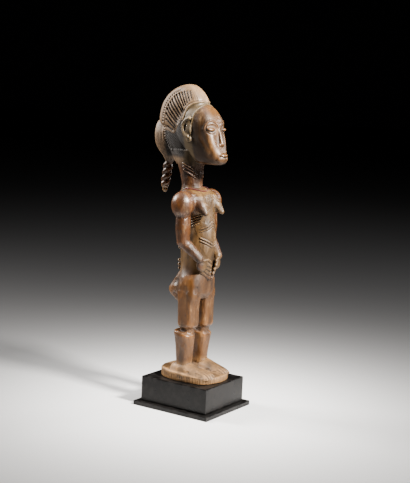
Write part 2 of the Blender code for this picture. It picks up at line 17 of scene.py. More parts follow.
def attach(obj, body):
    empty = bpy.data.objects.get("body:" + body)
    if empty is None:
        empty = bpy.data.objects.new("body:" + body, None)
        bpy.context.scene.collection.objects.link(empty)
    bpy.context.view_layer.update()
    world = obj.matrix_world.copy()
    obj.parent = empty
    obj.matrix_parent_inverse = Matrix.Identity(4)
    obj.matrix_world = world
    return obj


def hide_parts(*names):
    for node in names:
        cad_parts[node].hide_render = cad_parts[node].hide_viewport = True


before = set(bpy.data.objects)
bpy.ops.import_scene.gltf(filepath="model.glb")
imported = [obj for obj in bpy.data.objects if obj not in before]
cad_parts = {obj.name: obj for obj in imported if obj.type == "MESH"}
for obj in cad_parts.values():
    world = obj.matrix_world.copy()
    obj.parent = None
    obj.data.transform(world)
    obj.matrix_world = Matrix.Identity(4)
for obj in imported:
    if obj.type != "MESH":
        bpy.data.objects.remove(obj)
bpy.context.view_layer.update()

MM = 0.001
SEED = 7

# Camera of the photograph
CAMERA_PLACE = (-1.1941, -0.8130, 0.4330)
CAMERA_AZIMUTH = -56.117
CAMERA_PITCH = 7.94
CAMERA_ROLL = 2.349
CAMERA_FOCAL = 1061.3
CAMERA_SENSOR = 36.0
PHOTO_HEIGHT = 483

# Stage: reach of the floor, the distance where it is half dark, how fast it darkens, its colours near and
# far (a painted pool of light round the figure), its roughness, and the sky
FLOOR_REACH = 14.0
FLOOR_HALF = 0.25
FLOOR_FALL = 2.9
FLOOR_NEAR = (0.8, 0.8, 0.8, 1)
FLOOR_FAR = (0.02, 0.02, 0.021, 1)
FLOOR_ROUGHNESS = 0.7
WORLD_COLOUR = (0.0016, 0.0016, 0.0018, 1)

# Lights: name, azimuth from the front, elevation, distance, size, power and colour, all aimed at one point
LIGHT_AIM = (0.0, 0.0, 0.24)
LIGHTS = (
    ("key", -6.0, 36.0, 1.7, 0.24, 108.0, (1.0, 0.97, 0.93)),
    ("rim", -164.0, 30.0, 1.6, 0.5, 42.0, (1.0, 0.97, 0.94)),
    ("side", 62.0, 22.0, 2.2, 0.5, 14.0, (1.0, 1.0, 1.0)),
    ("above", 0.0, 86.0, 1.6, 1.0, 9.0, (1.0, 1.0, 1.0)),
)

# Contrast of the picture
LOOK = "AgX - Medium High Contrast"

# Fineness of the figure: voxel size and triangles kept
VOXEL = 0.5
FIGURE_TRIANGLES = 194000

# Carved base under the feet: (y, half-width) of its plan, front to back, then its heights
BASE_PLAN = (
    (-48.5, 6.0),
    (-46.0, 17.0),
    (-41.0, 27.0),
    (-33.0, 34.5),
    (-18.0, 37.8),
    (0.0, 37.8),
    (15.0, 35.8),
    (28.0, 31.0),
    (38.0, 23.0),
    (43.5, 11.0),
)
BASE_BOTTOM = 41.5
BASE_FRONT_TOP = 50.0
BASE_BACK_TOP = 54.0
BASE_CHAMFER = 1.6

# Feet: (y, centre x, half-width, top z), heel to toes
FOOT = (
    (23.0, 20.0, 6.0, 56.0),
    (18.0, 20.0, 11.0, 62.0),
    (8.0, 20.5, 12.4, 66.5),
    (-2.0, 20.5, 12.8, 65.5),
    (-14.0, 20.0, 13.4, 62.0),
    (-28.0, 19.0, 14.0, 57.6),
    (-38.0, 17.5, 13.4, 54.4),
    (-43.0, 16.5, 11.5, 51.6),
)
FOOT_FLOOR = 47.0
FOOT_SQUARENESS = 2.3

# Legs: (z, centre x, centre y, half-width, half-depth, squareness, lean), bottom to top
CALF = (
    (60.0, 19.0, 3.3, 9.6, 10.0, 2.8, 0.0),
    (70.0, 19.0, 3.1, 9.8, 10.2, 2.8, 0.0),
    (84.0, 19.3, 2.8, 10.8, 11.2, 2.8, 0.02),
    (97.0, 19.8, 2.7, 11.8, 12.4, 2.8, 0.1),
    (104.0, 20.2, 3.0, 12.6, 13.3, 2.8, 0.18),
    (107.0, 20.2, 3.2, 12.2, 12.8, 2.8, 0.2),
    (109.0, 20.2, 3.4, 9.8, 10.2, 2.6, 0.2),
)
THIGH = (
    (104.0, 17.8, 0.0, 8.2, 8.6, 2.6, 0.0),
    (113.0, 17.8, -0.4, 9.0, 9.4, 2.8, 0.0),
    (115.5, 17.9, -0.7, 11.1, 11.5, 3.2, 0.0),
    (119.5, 18.0, -0.8, 12.0, 12.5, 3.6, 0.0),
    (132.0, 18.0, -0.6, 11.9, 12.4, 3.8, 0.0),
    (148.0, 17.6, -0.4, 12.3, 13.4, 3.6, 0.0),
    (160.0, 16.4, -0.2, 13.4, 15.6, 3.2, 0.0),
    (172.0, 14.5, 0.0, 13.4, 15.4, 2.6, 0.0),
)
LEFT_KNEE_DROP = 3.5

# Trunk: (z, front y, back y, half-width, squareness), crotch to collar
TRUNK = (
    (153.0, -12.0, 14.0, 24.0, 2.8),
    (161.0, -17.5, 18.5, 28.0, 2.8),
    (172.0, -19.5, 20.5, 28.5, 2.7),
    (182.0, -20.5, 21.0, 26.5, 2.5),
    (195.0, -21.0, 22.0, 22.0, 2.3),
    (210.0, -22.5, 24.0, 19.8, 2.2),
    (224.0, -24.5, 25.0, 18.5, 2.2),
    (240.0, -25.0, 24.5, 18.0, 2.2),
    (254.0, -23.0, 23.0, 18.0, 2.2),
    (266.0, -20.5, 22.5, 20.0, 2.2),
    (278.0, -18.5, 21.5, 27.0, 2.4),
    (289.0, -16.5, 20.5, 33.0, 2.5),
    (297.0, -12.0, 19.5, 31.0, 2.4),
    (302.0, -6.0, 19.0, 24.5, 2.2),
    (305.5, 0.0, 18.0, 15.5, 2.0),
)
BUTTOCK = (((13.0, 8.0, 168.0), 13.0), ((12.5, 18.0, 166.5), 11.2), ((12.0, 28.5, 163.0), 8.0))
BUTTOCK_ABOVE = (((13.0, 15.0, 184.0), 7.0), ((12.0, 27.5, 164.5), 8.0))
BUTTOCK_BELOW = (((13.0, 10.0, 148.0), 7.0), ((12.0, 27.5, 162.0), 8.0))

# Arms, given for the side at +X: points with their radii
SHOULDER_CENTRE = (34.0, 4.8, 283.5)
SHOULDER_RADII = (14.6, 15.8, 18.6)
YOKE = (((12.0, 6.0, 289.0), 12.0), ((31.0, 5.0, 285.5), 14.5))
UPPER_ARM = (((32.2, 4.2, 272.0), 9.6), ((32.2, 3.8, 252.0), 10.3), ((31.6, 3.0, 234.5), 9.0))
FOREARM = (((31.0, 2.0, 232.5), 8.4), ((27.3, -8.5, 222.5), 7.2), ((22.5, -18.2, 211.5), 6.0))
PALM_CENTRE = (18.2, -19.8, 202.5)
PALM_RADII = (8.2, 4.8, 9.0)
PALM_TURN = 22.0
FINGER_COUNT = 4
FINGER_RADIUS = 2.35
FINGER_ROOTS = ((17.5, -22.8, 207.5), (15.8, -17.4, 192.6))
FINGER_TIPS = ((7.0, -25.9, 200.8), (2.8, -22.2, 183.2))
THUMB = (((19.5, -22.5, 209.0), 2.5), ((11.5, -25.2, 209.6), 2.1), ((7.0, -26.2, 206.6), 1.9))

# Breasts
BREAST = (((15.0, -6.0, 288.0), 11.5), ((17.5, -15.0, 281.5), 8.2), ((20.0, -23.6, 273.0), 3.9))

# Neck: (z, front y, back y, half-width, squareness)
NECK = (
    (296.0, -4.0, 29.0, 17.0, 2.0),
    (308.0, -0.5, 28.0, 14.0, 2.0),
    (320.0, -0.5, 30.5, 14.6, 2.0),
    (330.0, -0.5, 33.5, 16.4, 2.0),
    (342.0, -3.0, 38.0, 17.5, 2.0),
    (356.0, -4.0, 46.0, 18.5, 2.1),
)

# Head, in its own frame before it is turned: (z, front y, back y, half-width, squareness)
HEAD_TURN = 5.0
HEAD_AXIS = (0.0, 15.0)
HEAD = (
    (338.5, -33.0, -6.0, 7.6, 2.2),
    (341.5, -38.0, 8.0, 12.4, 2.4),
    (347.0, -39.0, 15.0, 15.4, 2.6),
    (353.0, -39.0, 20.0, 17.4, 2.6),
    (360.0, -36.0, 25.0, 19.6, 2.8),
    (368.0, -32.8, 31.0, 21.4, 3.0),
    (378.0, -30.0, 36.0, 22.6, 3.2),
    (388.0, -29.0, 39.0, 23.6, 3.1),
    (396.0, -27.3, 40.5, 23.6, 2.9),
    (404.0, -23.4, 41.0, 22.5, 2.6),
    (410.0, -19.0, 40.0, 20.4, 2.4),
    (415.0, -13.2, 36.0, 17.0, 2.2),
    (419.0, -6.0, 30.0, 11.5, 2.0),
)
LIPS_CENTRE = (0.0, -37.8, 351.0)
LIPS_RADII = (8.0, 5.2, 3.8)
CHIN_CENTRE = (0.0, -34.4, 346.6)
CHIN_RADII = (10.6, 8.0, 7.4)
NOSE = (((0.0, -25.6, 393.0), 1.4), ((0.0, -31.2, 379.0), 1.9), ((0.0, -34.4, 366.4), 3.0))
NOSTRIL_CENTRE = (3.3, -33.2, 365.2)
NOSTRIL_RADIUS = 2.5
EYE_CENTRE = (12.9, -25.6, 385.6)
EYE_RADII = (6.6, 4.4, 3.6)
EYE_TURN = 24.0
EAR_PATH = (
    (3.0, 399.4),
    (9.0, 396.8),
    (14.2, 390.5),
    (13.6, 383.5),
    (10.4, 378.2),
    (5.4, 375.0),
)
EAR_X = 24.4
EAR_RADIUS = 2.5
EAR_SHELL_CENTRE = (23.4, 7.2, 386.8)
EAR_SHELL_RADII = (2.0, 7.4, 12.0)
LOBE_CENTRE = (22.0, 4.2, 371.5)
LOBE_RADII = (2.8, 5.0, 4.0)
NAPE = (
    (336.0, 2.0, 39.0, 15.0, 2.0),
    (347.0, 2.0, 47.0, 16.0, 2.1),
    (358.0, 4.0, 54.0, 17.0, 2.3),
    (372.0, 5.0, 62.0, 18.0, 2.7),
    (386.0, 5.0, 64.0, 18.0, 2.7),
    (398.0, 5.0, 60.0, 17.0, 2.3),
)

# Crest of hair: its outline seen from the side as (y, z), and how it draws in towards its faces
CREST_OUTLINE = (
    (-6.5, 415.0),
    (-3.0, 426.0),
    (8.0, 438.8),
    (23.0, 444.6),
    (45.0, 438.6),
    (62.0, 424.2),
    (69.5, 405.6),
    (69.0, 392.0),
    (56.0, 384.0),
    (37.0, 379.5),
    (20.0, 400.0),
    (8.0, 409.5),
)
CREST_ROOT = (26.0, 394.0)
CREST_STEPS = (
    (0.0, 1.0),
    (5.0, 0.99),
    (8.5, 0.965),
    (11.5, 0.925),
    (14.2, 0.86),
    (16.8, 0.77),
    (19.0, 0.66),
    (20.6, 0.54),
    (21.4, 0.42),
)

# Bun behind the crest: (z, front y, back y, half-width, squareness)
BUN = (
    (397.0, 60.0, 72.0, 6.0, 2.0),
    (391.0, 52.0, 77.5, 11.0, 2.1),
    (382.0, 46.0, 79.5, 14.6, 2.2),
    (373.0, 43.0, 80.0, 15.6, 2.2),
    (362.0, 39.0, 78.5, 15.0, 2.2),
    (353.0, 38.0, 73.5, 12.6, 2.1),
    (345.0, 42.0, 66.5, 9.2, 2.0),
    (338.0, 49.5, 62.5, 6.0, 2.0),
    (333.0, 53.5, 61.5, 4.2, 2.0),
)

# Plait: two strands twisted round a hanging line, then a ring and a tip
PLAIT_LINE = ((58.6, 334.0), (60.4, 320.0), (62.6, 306.0))
PLAIT_PITCH = 18.0
PLAIT_OFFSET = 3.2
PLAIT_STRAND = 4.1
PLAIT_STEPS = 14
PLAIT_RING = ((0.0, 63.0, 302.4), (5.6, 5.6, 2.4))
PLAIT_TIP = ((0.0, 63.4, 297.6), (4.2, 4.2, 3.8))

# Lines in the head's frame as (y, z), seen from the side
HAIRLINE = (
    (1.0, 371.0),
    (1.0, 386.4),
    (-0.6, 395.3),
    (-1.9, 403.1),
    (-4.1, 410.4),
    (-6.6, 415.6),
    (-7.4, 419.0),
)
BAND_EDGE = (
    (16.4, 396.7),
    (14.8, 401.0),
    (13.1, 408.0),
    (9.4, 414.6),
    (3.6, 419.0),
    (-2.7, 421.4),
    (-5.5, 422.0),
)
NAPE_TOP = ((10.0, 399.0), (19.6, 396.0), (34.4, 378.0), (45.9, 382.0), (60.0, 382.0))
BUN_EDGE = ((46.0, 345.0), (47.0, 358.0), (56.0, 373.0), (59.0, 385.0), (62.0, 395.0))
EAR_SLOT = ((9.0, 391.0), (9.9, 383.8))
BORDER = ((26.0, 437.4), (36.0, 433.4), (44.6, 425.8), (51.0, 415.4), (53.6, 404.6), (54.4, 394.0))
BEADS = (
    (54.6, 392.0),
    (54.4, 385.0),
    (54.2, 379.0),
    (53.6, 373.0),
    (51.0, 368.0),
    (47.0, 363.0),
    (41.5, 357.5),
)

# Notches across the border and the row of beads, and the nape's hatching as (angle, spacing, depth)
BORDER_NOTCHES = 16
BEAD_NOTCHES = 11
NAPE_HATCH = ((38.0, 1.9, 0.5), (-44.0, 2.4, 0.2))
BUN_STRANDS = 9.5

# Combed grooves of the crest, from the back to the front, as (y, z) in the head's frame
GROOVES = (
    ((48.0, 387.6), (41.7, 384.0), (36.0, 380.6)),
    ((48.4, 397.2), (43.5, 393.9), (38.2, 389.9), (31.0, 385.0)),
    ((48.6, 405.4), (45.7, 402.4), (39.7, 396.5), (35.3, 392.4), (28.2, 387.2)),
    ((48.2, 412.4), (42.0, 405.5), (37.0, 400.4), (30.1, 394.6), (23.6, 390.2)),
    ((46.4, 417.4), (42.4, 412.2), (36.0, 405.3), (28.4, 397.5), (20.9, 392.6)),
    ((43.4, 421.0), (39.5, 416.4), (33.1, 409.4), (25.6, 401.6), (19.4, 396.0)),
    ((40.6, 425.0), (37.5, 420.9), (31.0, 413.9), (24.6, 406.3), (17.4, 399.6)),
    ((37.0, 428.6), (34.0, 424.7), (26.9, 417.0), (20.8, 409.2), (16.4, 403.4)),
    ((34.0, 431.0), (29.6, 425.8), (24.0, 419.2), (18.6, 411.4), (15.4, 406.4)),
    ((29.9, 433.0), (25.6, 428.0), (20.4, 421.0), (15.4, 412.8)),
    ((25.6, 434.4), (21.6, 429.0), (17.0, 421.8), (13.2, 414.6)),
    ((21.6, 435.4), (17.8, 429.8), (13.8, 422.8), (11.2, 417.6)),
    ((17.6, 436.0), (14.2, 430.4), (11.0, 424.4), (8.8, 420.4)),
    ((13.6, 436.4), (10.6, 431.2), (7.8, 426.0), (5.8, 423.2)),
)
BOLD_GROOVES = 9
FAINT_SHARE = 0.65
GROOVE_WIDTH = 1.65
GROOVE_DEPTH = 1.9

# Lines on the face as (x, z), given for the side at +X
BROW = (
    (20.7, 383.0),
    (20.3, 387.6),
    (19.0, 392.4),
    (15.8, 396.3),
    (11.0, 397.0),
    (5.6, 394.2),
    (2.4, 390.4),
)
EYE_RING = ((18.9, 386.5), (16.7, 391.2), (12.2, 393.4), (6.8, 392.0), (3.2, 388.0))
UPPER_LID = ((18.8, 385.0), (15.8, 383.3), (12.6, 382.7), (9.6, 383.2), (7.0, 384.8))
LOWER_LID = ((19.2, 382.8), (16.6, 380.4), (12.0, 379.7), (8.0, 381.0), (6.4, 383.0))
MOUTH = ((-7.6, 350.6), (-3.4, 349.4), (0.0, 349.0), (3.4, 349.4), (7.6, 350.6))

# The same lines with their height and half-width
FACE_LINES = ((BROW, 0.95, 1.25), (EYE_RING, 0.5, 0.95), (UPPER_LID, -0.95, 0.85), (LOWER_LID, -0.6, 0.9))

# Soft pushes on the face: how far outwards, then centre and reach as (side, z)
FACE_PUSHES = (
    (-1.3, (12.0, 388.0), (10.0, 9.5)),
    (-0.8, (7.5, 372.0), (6.0, 12.0)),
    (0.9, (13.5, 369.0), (8.0, 14.0)),
    (-0.4, (0.0, 344.6), (10.0, 2.4)),
)
SPINE_DEPTH = 1.6
SPINE_HALF_WIDTH = 5.0

# Flat cuts of the blade: how many, how deep at most, and how much of each is left
CUTS = 2603
CUT_DEPTH = 0.34
CUT_SHARE = 0.7

# Lines on the side of the face as (y, z)
CHEEK_EDGE = (
    (-16.6, 387.3),
    (-17.8, 381.8),
    (-20.2, 374.2),
    (-23.7, 365.6),
    (-26.4, 357.0),
    (-27.0, 351.0),
)
JAW_RIDGE = ((-6.0, 381.0), (-9.1, 376.9), (-14.2, 371.7), (-20.2, 363.2), (-24.6, 356.0))

# Scars as (degrees from the front, z) lines round an upright axis
BELLY_SCARS = (
    ((51.0, 250.5), (28.0, 254.0), (4.0, 260.0)),
    ((51.0, 247.0), (28.0, 250.4), (4.0, 256.0)),
    ((51.0, 239.2), (28.0, 235.4), (4.0, 230.0)),
    ((51.0, 235.4), (28.0, 231.4), (4.0, 226.0)),
)
CHEST_SCARS = (
    ((92.0, 263.4), (68.0, 268.2), (48.0, 270.4)),
    ((92.0, 260.0), (68.0, 264.8), (48.0, 266.9)),
    ((90.0, 256.6), (68.0, 261.0), (52.0, 262.6)),
    ((88.0, 253.2), (70.0, 256.8), (56.0, 258.2)),
)
NECK_SCARS = (
    ((108.0, 338.4), (80.0, 334.4), (54.0, 330.4)),
    ((107.0, 334.4), (70.0, 329.6), (30.0, 322.6)),
    ((105.0, 329.8), (70.0, 324.2), (38.0, 318.8)),
)
TRUNK_CORE_Y = 0.0
NECK_CORE_Y = 14.0
SCAR_RADIUS = 19.0

# Groups of scars: lines, y of the axis, half-width and height
SCAR_GROUPS = (
    (BELLY_SCARS, TRUNK_CORE_Y, 1.25, 1.05),
    (CHEST_SCARS, TRUNK_CORE_Y, 1.15, 0.95),
    (NECK_SCARS, NECK_CORE_Y, 1.4, 1.2),
)

# Raised points in two rows down the back
BACK_POINTS = (221.5, 203.6, 197.8, 192.0)
BACK_POINT_X = 8.5
BACK_POINT_Y = 24.4
BACK_POINT_RADIUS = 2.6

# Lines between the toes: their depth, then (distance from the foot's middle, front y, back y)
TOE_DEPTH = 1.0
TOE_LINES = ((-8.2, -43.0, -31.0), (-3.0, -45.0, -30.0), (2.2, -45.0, -30.0), (7.0, -44.0, -31.0))

# Upright cuts round the edge of the base
BASE_CUT_PITCH = 3.1
BASE_CUT_DEPTH = 0.28

# Thread on the shoulders: rays fall on them from a wide ring round the neck towards a narrower one
THREAD_CENTRE_Y = 10.5
THREAD_RAY_START = (27.0, 322.0)
THREAD_RAY_END = (17.0, 297.0)
THREAD_POINTS = 48
THREAD_RADIUS = 0.75
THREAD_PITCH = 2.3
THREAD_STEP = 0.00025
PLY_OFFSET = 0.4
PLY_RADIUS = 0.58


# Forms


def superellipse(centre, across, along, half_width, half_depth, squareness, sides):
    """A closed ring of points round centre, spanned by the directions across and along."""
    points = []
    for i in range(sides):
        angle = 2 * math.pi * i / sides
        c, s = math.cos(angle), math.sin(angle)
        u = math.copysign(abs(c) ** (2 / squareness), c) * half_width
        v = math.copysign(abs(s) ** (2 / squareness), s) * half_depth
        points.append(Vector(centre) + u * Vector(across) + v * Vector(along))
    return points


def eased(rows, steps):
    """The rows with steps - 1 more between each two, on a smooth curve through them."""
    table = np.array(rows, float)
    padded = np.vstack([2 * table[0] - table[1], table, 2 * table[-1] - table[-2]])
    out = []
    for i in range(len(table) - 1):
        a, b, c, d = padded[i : i + 4]
        for k in range(steps):
            t = k / steps
            bend = (2 * a - 5 * b + 4 * c - d) * t * t + (3 * b - a - 3 * c + d) * t**3
            out.append(0.5 * (2 * b + (c - a) * t + bend))
    out.append(table[-1])
    return np.array(out).tolist()


def add_skin(bm, rings):
    """A closed body: the rings joined one to the next, and both ends filled."""
    loops = [[bm.verts.new(point) for point in ring] for ring in rings]
    count = len(loops[0])
    faces = []
    for low, high in zip(loops, loops[1:]):
        for i in range(count):
            j = (i + 1) % count
            faces.append(bm.faces.new((low[i], low[j], high[j], high[i])))
    faces.append(bm.faces.new(loops[0][::-1]))
    faces.append(bm.faces.new(loops[-1]))
    bmesh.ops.recalc_face_normals(bm, faces=faces)


def add_column(bm, rows, sides=72):
    """An upright form from rows of (z, front y, back y, half-width, squareness)."""
    rings = []
    for z, front, back, half_width, squareness in eased(rows, 8):
        centre = (0, (front + back) / 2, z)
        half_depth = (back - front) / 2
        rings.append(superellipse(centre, (1, 0, 0), (0, 1, 0), half_width, half_depth, squareness, sides))
    add_skin(bm, rings)


def add_leg(bm, rows, side, sides=64):
    """An upright form from rows of (z, x, y, half-width, half-depth, squareness, lean)."""
    rings = []
    for z, x, y, half_width, half_depth, squareness, lean in eased(rows, 6):
        if side > 0:
            z -= LEFT_KNEE_DROP * max(0.0, 1 - abs(z - 110) / 36)
        centre, along = (side * x, y, z), (0, 1, lean)
        rings.append(superellipse(centre, (1, 0, 0), along, half_width, half_depth, squareness, sides))
    add_skin(bm, rings)


def add_ball(bm, centre, radii, turn=0.0):
    """An ellipsoid, turned about Z by degrees."""
    turned = Matrix.Translation(centre) @ Matrix.Rotation(math.radians(turn), 4, "Z")
    matrix = turned @ Matrix.Diagonal((*radii, 1.0))
    bmesh.ops.create_icosphere(bm, subdivisions=5, radius=1.0, matrix=matrix)


def add_limb(bm, joints, sides=40):
    """Balls at the joints, given as (point, radius), with a tapered stretch between each two."""
    for point, radius in joints:
        add_ball(bm, point, (radius, radius, radius))
    for (start, r0), (end, r1) in zip(joints, joints[1:]):
        start, end = Vector(start), Vector(end)
        spin = (end - start).to_track_quat("Z", "X").to_matrix().to_4x4()
        bmesh.ops.create_cone(
            bm,
            cap_ends=True,
            segments=sides,
            radius1=r0,
            radius2=r1,
            depth=(end - start).length,
            matrix=Matrix.Translation((start + end) / 2) @ spin,
        )


def mirrored(joints, side):
    return [((side * x, y, z), radius) for (x, y, z), radius in joints]


def add_base(bm):
    """The flat carved base under the feet, lower in front, with a chamfered top edge."""
    right = [(w, y) for y, w in eased(BASE_PLAN, 8)]
    outline = right + [(-w, y) for w, y in reversed(right)]
    front, back = BASE_PLAN[0][0], BASE_PLAN[-1][0]
    middle = (front + back) / 2
    rings = [[Vector((x, y, BASE_BOTTOM)) for x, y in outline]]
    for below_top, inset in ((BASE_CHAMFER, 0.0), (0.0, BASE_CHAMFER)):
        shrink = 1 - 2 * inset / (back - front)
        ring = []
        for x, y in outline:
            slope = min(1.0, 2 * (y - front) / (back - front))
            top = BASE_FRONT_TOP + (BASE_BACK_TOP - BASE_FRONT_TOP) * slope
            ring.append(Vector((x * shrink, middle + (y - middle) * shrink, top - below_top)))
        rings.append(ring)
    add_skin(bm, rings)


def add_foot(bm, side):
    """A long low mound with a flat sole sunk into the base."""
    rings = []
    for y, x, half_width, top in eased(FOOT, 6):
        centre = (side * x, y, FOOT_FLOOR)
        ring = superellipse(centre, (1, 0, 0), (0, 0, 1), half_width, top - FOOT_FLOOR, FOOT_SQUARENESS, 48)
        for point in ring:
            point.z = max(point.z, FOOT_FLOOR)
        rings.append(ring)
    add_skin(bm, rings)


def add_arm(bm, side):
    x, y, z = SHOULDER_CENTRE
    add_ball(bm, (side * x, y, z), SHOULDER_RADII)
    add_limb(bm, mirrored(UPPER_ARM, side))
    add_limb(bm, mirrored(FOREARM, side))
    x, y, z = PALM_CENTRE
    add_ball(bm, (side * x, y, z), PALM_RADII, turn=side * PALM_TURN)
    for i in range(FINGER_COUNT):
        t = i / (FINGER_COUNT - 1)
        root = Vector(FINGER_ROOTS[0]).lerp(Vector(FINGER_ROOTS[1]), t)
        tip = Vector(FINGER_TIPS[0]).lerp(Vector(FINGER_TIPS[1]), t)
        add_limb(bm, mirrored(((root, FINGER_RADIUS), (tip, FINGER_RADIUS)), side))
    add_limb(bm, mirrored(THUMB, side))


def add_body(bm):
    add_base(bm)
    add_column(bm, TRUNK)
    add_column(bm, NECK)
    for side in (-1, 1):
        add_foot(bm, side)
        add_leg(bm, CALF, side)
        add_leg(bm, THIGH, side)
        add_arm(bm, side)
        add_limb(bm, mirrored(BREAST, side))
        for part in (BUTTOCK, BUTTOCK_ABOVE, BUTTOCK_BELOW, YOKE):
            add_limb(bm, mirrored(part, side))
        for z in BACK_POINTS:
            add_ball(bm, (side * BACK_POINT_X, BACK_POINT_Y, z), (BACK_POINT_RADIUS,) * 3)


def add_face(bm):
    add_ball(bm, LIPS_CENTRE, LIPS_RADII)
    add_ball(bm, CHIN_CENTRE, CHIN_RADII)
    add_limb(bm, NOSE)
    for side in (-1, 1):
        x, y, z = NOSTRIL_CENTRE
        add_ball(bm, (side * x, y, z), (NOSTRIL_RADIUS,) * 3)
        x, y, z = EYE_CENTRE
        add_ball(bm, (side * x, y, z), EYE_RADII, turn=side * EYE_TURN)
        add_limb(bm, [((side * EAR_X, y, z), EAR_RADIUS) for y, z in eased(EAR_PATH, 3)])
        for (x, y, z), radii in ((EAR_SHELL_CENTRE, EAR_SHELL_RADII), (LOBE_CENTRE, LOBE_RADII)):
            add_ball(bm, (side * x, y, z), radii)


def add_crest(bm):
    """A thick upright slab, full along its middle and drawn in towards its root at both faces."""
    outline = eased(CREST_OUTLINE + CREST_OUTLINE[:1], 8)[:-1]
    root_y, root_z = CREST_ROOT
    half = eased(CREST_STEPS, 3)
    rings = []
    for x, scale in [(-x, s) for x, s in reversed(half[1:])] + half:
        drawn = [(root_y + (y - root_y) * scale, root_z + (z - root_z) * scale) for y, z in outline]
        rings.append([Vector((x, y, z)) for y, z in drawn])
    add_skin(bm, rings)


def add_plait(bm):
    """Two strands twisted round each other, a ring and a tip."""
    ys, zs = np.array(PLAIT_LINE).T
    for strand in (0, 1):
        joints = []
        for z in np.linspace(zs[0], zs[-1], PLAIT_STEPS).tolist():
            y = float(np.interp(z, zs[::-1], ys[::-1]))
            angle = 2 * math.pi * (z / PLAIT_PITCH + strand / 2)
            point = (PLAIT_OFFSET * math.cos(angle), y + PLAIT_OFFSET * math.sin(angle), z)
            joints.append((point, PLAIT_STRAND))
        add_limb(bm, joints)
    add_ball(bm, *PLAIT_RING)
    add_ball(bm, *PLAIT_TIP)


def add_hair(bm):
    add_crest(bm)
    add_column(bm, NAPE)
    add_column(bm, BUN)
    add_plait(bm)


def turned_head():
    axis_x, axis_y = HEAD_AXIS
    out = Matrix.Translation((axis_x, axis_y, 0))
    return out @ Matrix.Rotation(math.radians(-HEAD_TURN), 4, "Z") @ out.inverted()


# Skin of the figure, as arrays


class Skin:
    """The points of a closed mesh in millimetres, with ways to smooth, push and carve them."""

    def __init__(self, points, faces):
        self.points = points
        self.faces = faces
        self.starts = faces.ravel()
        self.ends = np.roll(faces, -1, axis=1).ravel()
        self.valence = np.bincount(self.starts, minlength=len(points))

    def gathered(self, corner_values):
        """The sum at each point of (corners, 3) values."""
        count = len(self.points)
        return np.stack([np.bincount(self.starts, corner_values[:, k], count) for k in range(3)], axis=1)

    def relaxed(self, rounds, weight=0.5):
        points = self.points
        for _ in range(rounds):
            mean = self.gathered(points[self.ends]) / self.valence[:, None]
            points = points + weight * (mean - points)
        return points

    def normals(self):
        corners = self.points[self.faces]
        if self.faces.shape[1] == 4:
            face = np.cross(corners[:, 2] - corners[:, 0], corners[:, 3] - corners[:, 1])
        else:
            face = np.cross(corners[:, 1] - corners[:, 0], corners[:, 2] - corners[:, 0])
        total = self.gathered(np.repeat(face, self.faces.shape[1], axis=0))
        return total / np.maximum(np.linalg.norm(total, axis=1, keepdims=True), 1e-9)

    def head_points(self):
        """The points in the head's own frame."""
        c, s = math.cos(math.radians(HEAD_TURN)), math.sin(math.radians(HEAD_TURN))
        x, y = self.points[:, 0], self.points[:, 1] - HEAD_AXIS[1]
        return np.column_stack([x * c - y * s, x * s + y * c + HEAD_AXIS[1], self.points[:, 2]])


def step(value, start, end):
    """0 before start and 1 after end, smoothly; start may be the larger."""
    t = np.clip((value - start) / (end - start), 0, 1)
    return t * t * (3 - 2 * t)


def between(value, low, high, soft):
    return step(value, low - soft, low) * step(value, high + soft, high)


def hill(distance, half_width):
    """1 at no distance, falling smoothly to 0 at half_width."""
    return np.clip(1 - (distance / half_width) ** 2, 0, 1) ** 2


def notch(distance, half_width):
    """A V-shaped valley with a slightly round bottom: 1 in the middle, 0 at half_width."""
    return np.clip(1 - np.sqrt((distance / half_width) ** 2 + 0.02), 0, 1)


def y_on(line, z):
    """The y of a rising line of (y, z) at the height z."""
    ys, zs = np.array(line).T
    return np.interp(z, zs, ys)


def z_on(line, y):
    """The height of a line of (y, z), given from front to back, at y."""
    ys, zs = np.array(line).T
    return np.interp(y, ys, zs)


def near_line(u, v, line, steps=4):
    """How far each (u, v) is from the smooth line, and the share of the way along it."""
    path = np.array(eased(line, steps))
    lengths = np.hypot(*(path[1:] - path[:-1]).T)
    best = np.full(len(u), 1e9)
    share = np.zeros(len(u))
    done = 0.0
    for a, b, length in zip(path, path[1:], lengths):
        t = np.clip(((u - a[0]) * (b - a)[0] + (v - a[1]) * (b - a)[1]) / length**2, 0, 1)
        distance = np.hypot(u - a[0] - t * (b - a)[0], v - a[1] - t * (b - a)[1])
        nearer = distance < best
        best[nearer] = distance[nearer]
        share[nearer] = (done + t[nearer] * length) / lengths.sum()
        done += length
    return best, share


def sculpted(skin):
    """How far to push each point outwards for the soft shapes of the face and body."""
    x, y, z = skin.head_points().T
    side = np.abs(x)
    push = np.zeros(len(x))
    front = step(y, -14, -20) * step(z, 336, 342)
    for rise, (across, up), (reach_across, reach_up) in FACE_PUSHES:
        push += rise * hill(np.hypot((side - across) / reach_across, (z - up) / reach_up), 1.0) * front
    back = step(skin.points[:, 1], 12, 18) * between(skin.points[:, 2], 195, 292, 12)
    push -= SPINE_DEPTH * hill(skin.points[:, 0], SPINE_HALF_WIDTH) * back
    return push


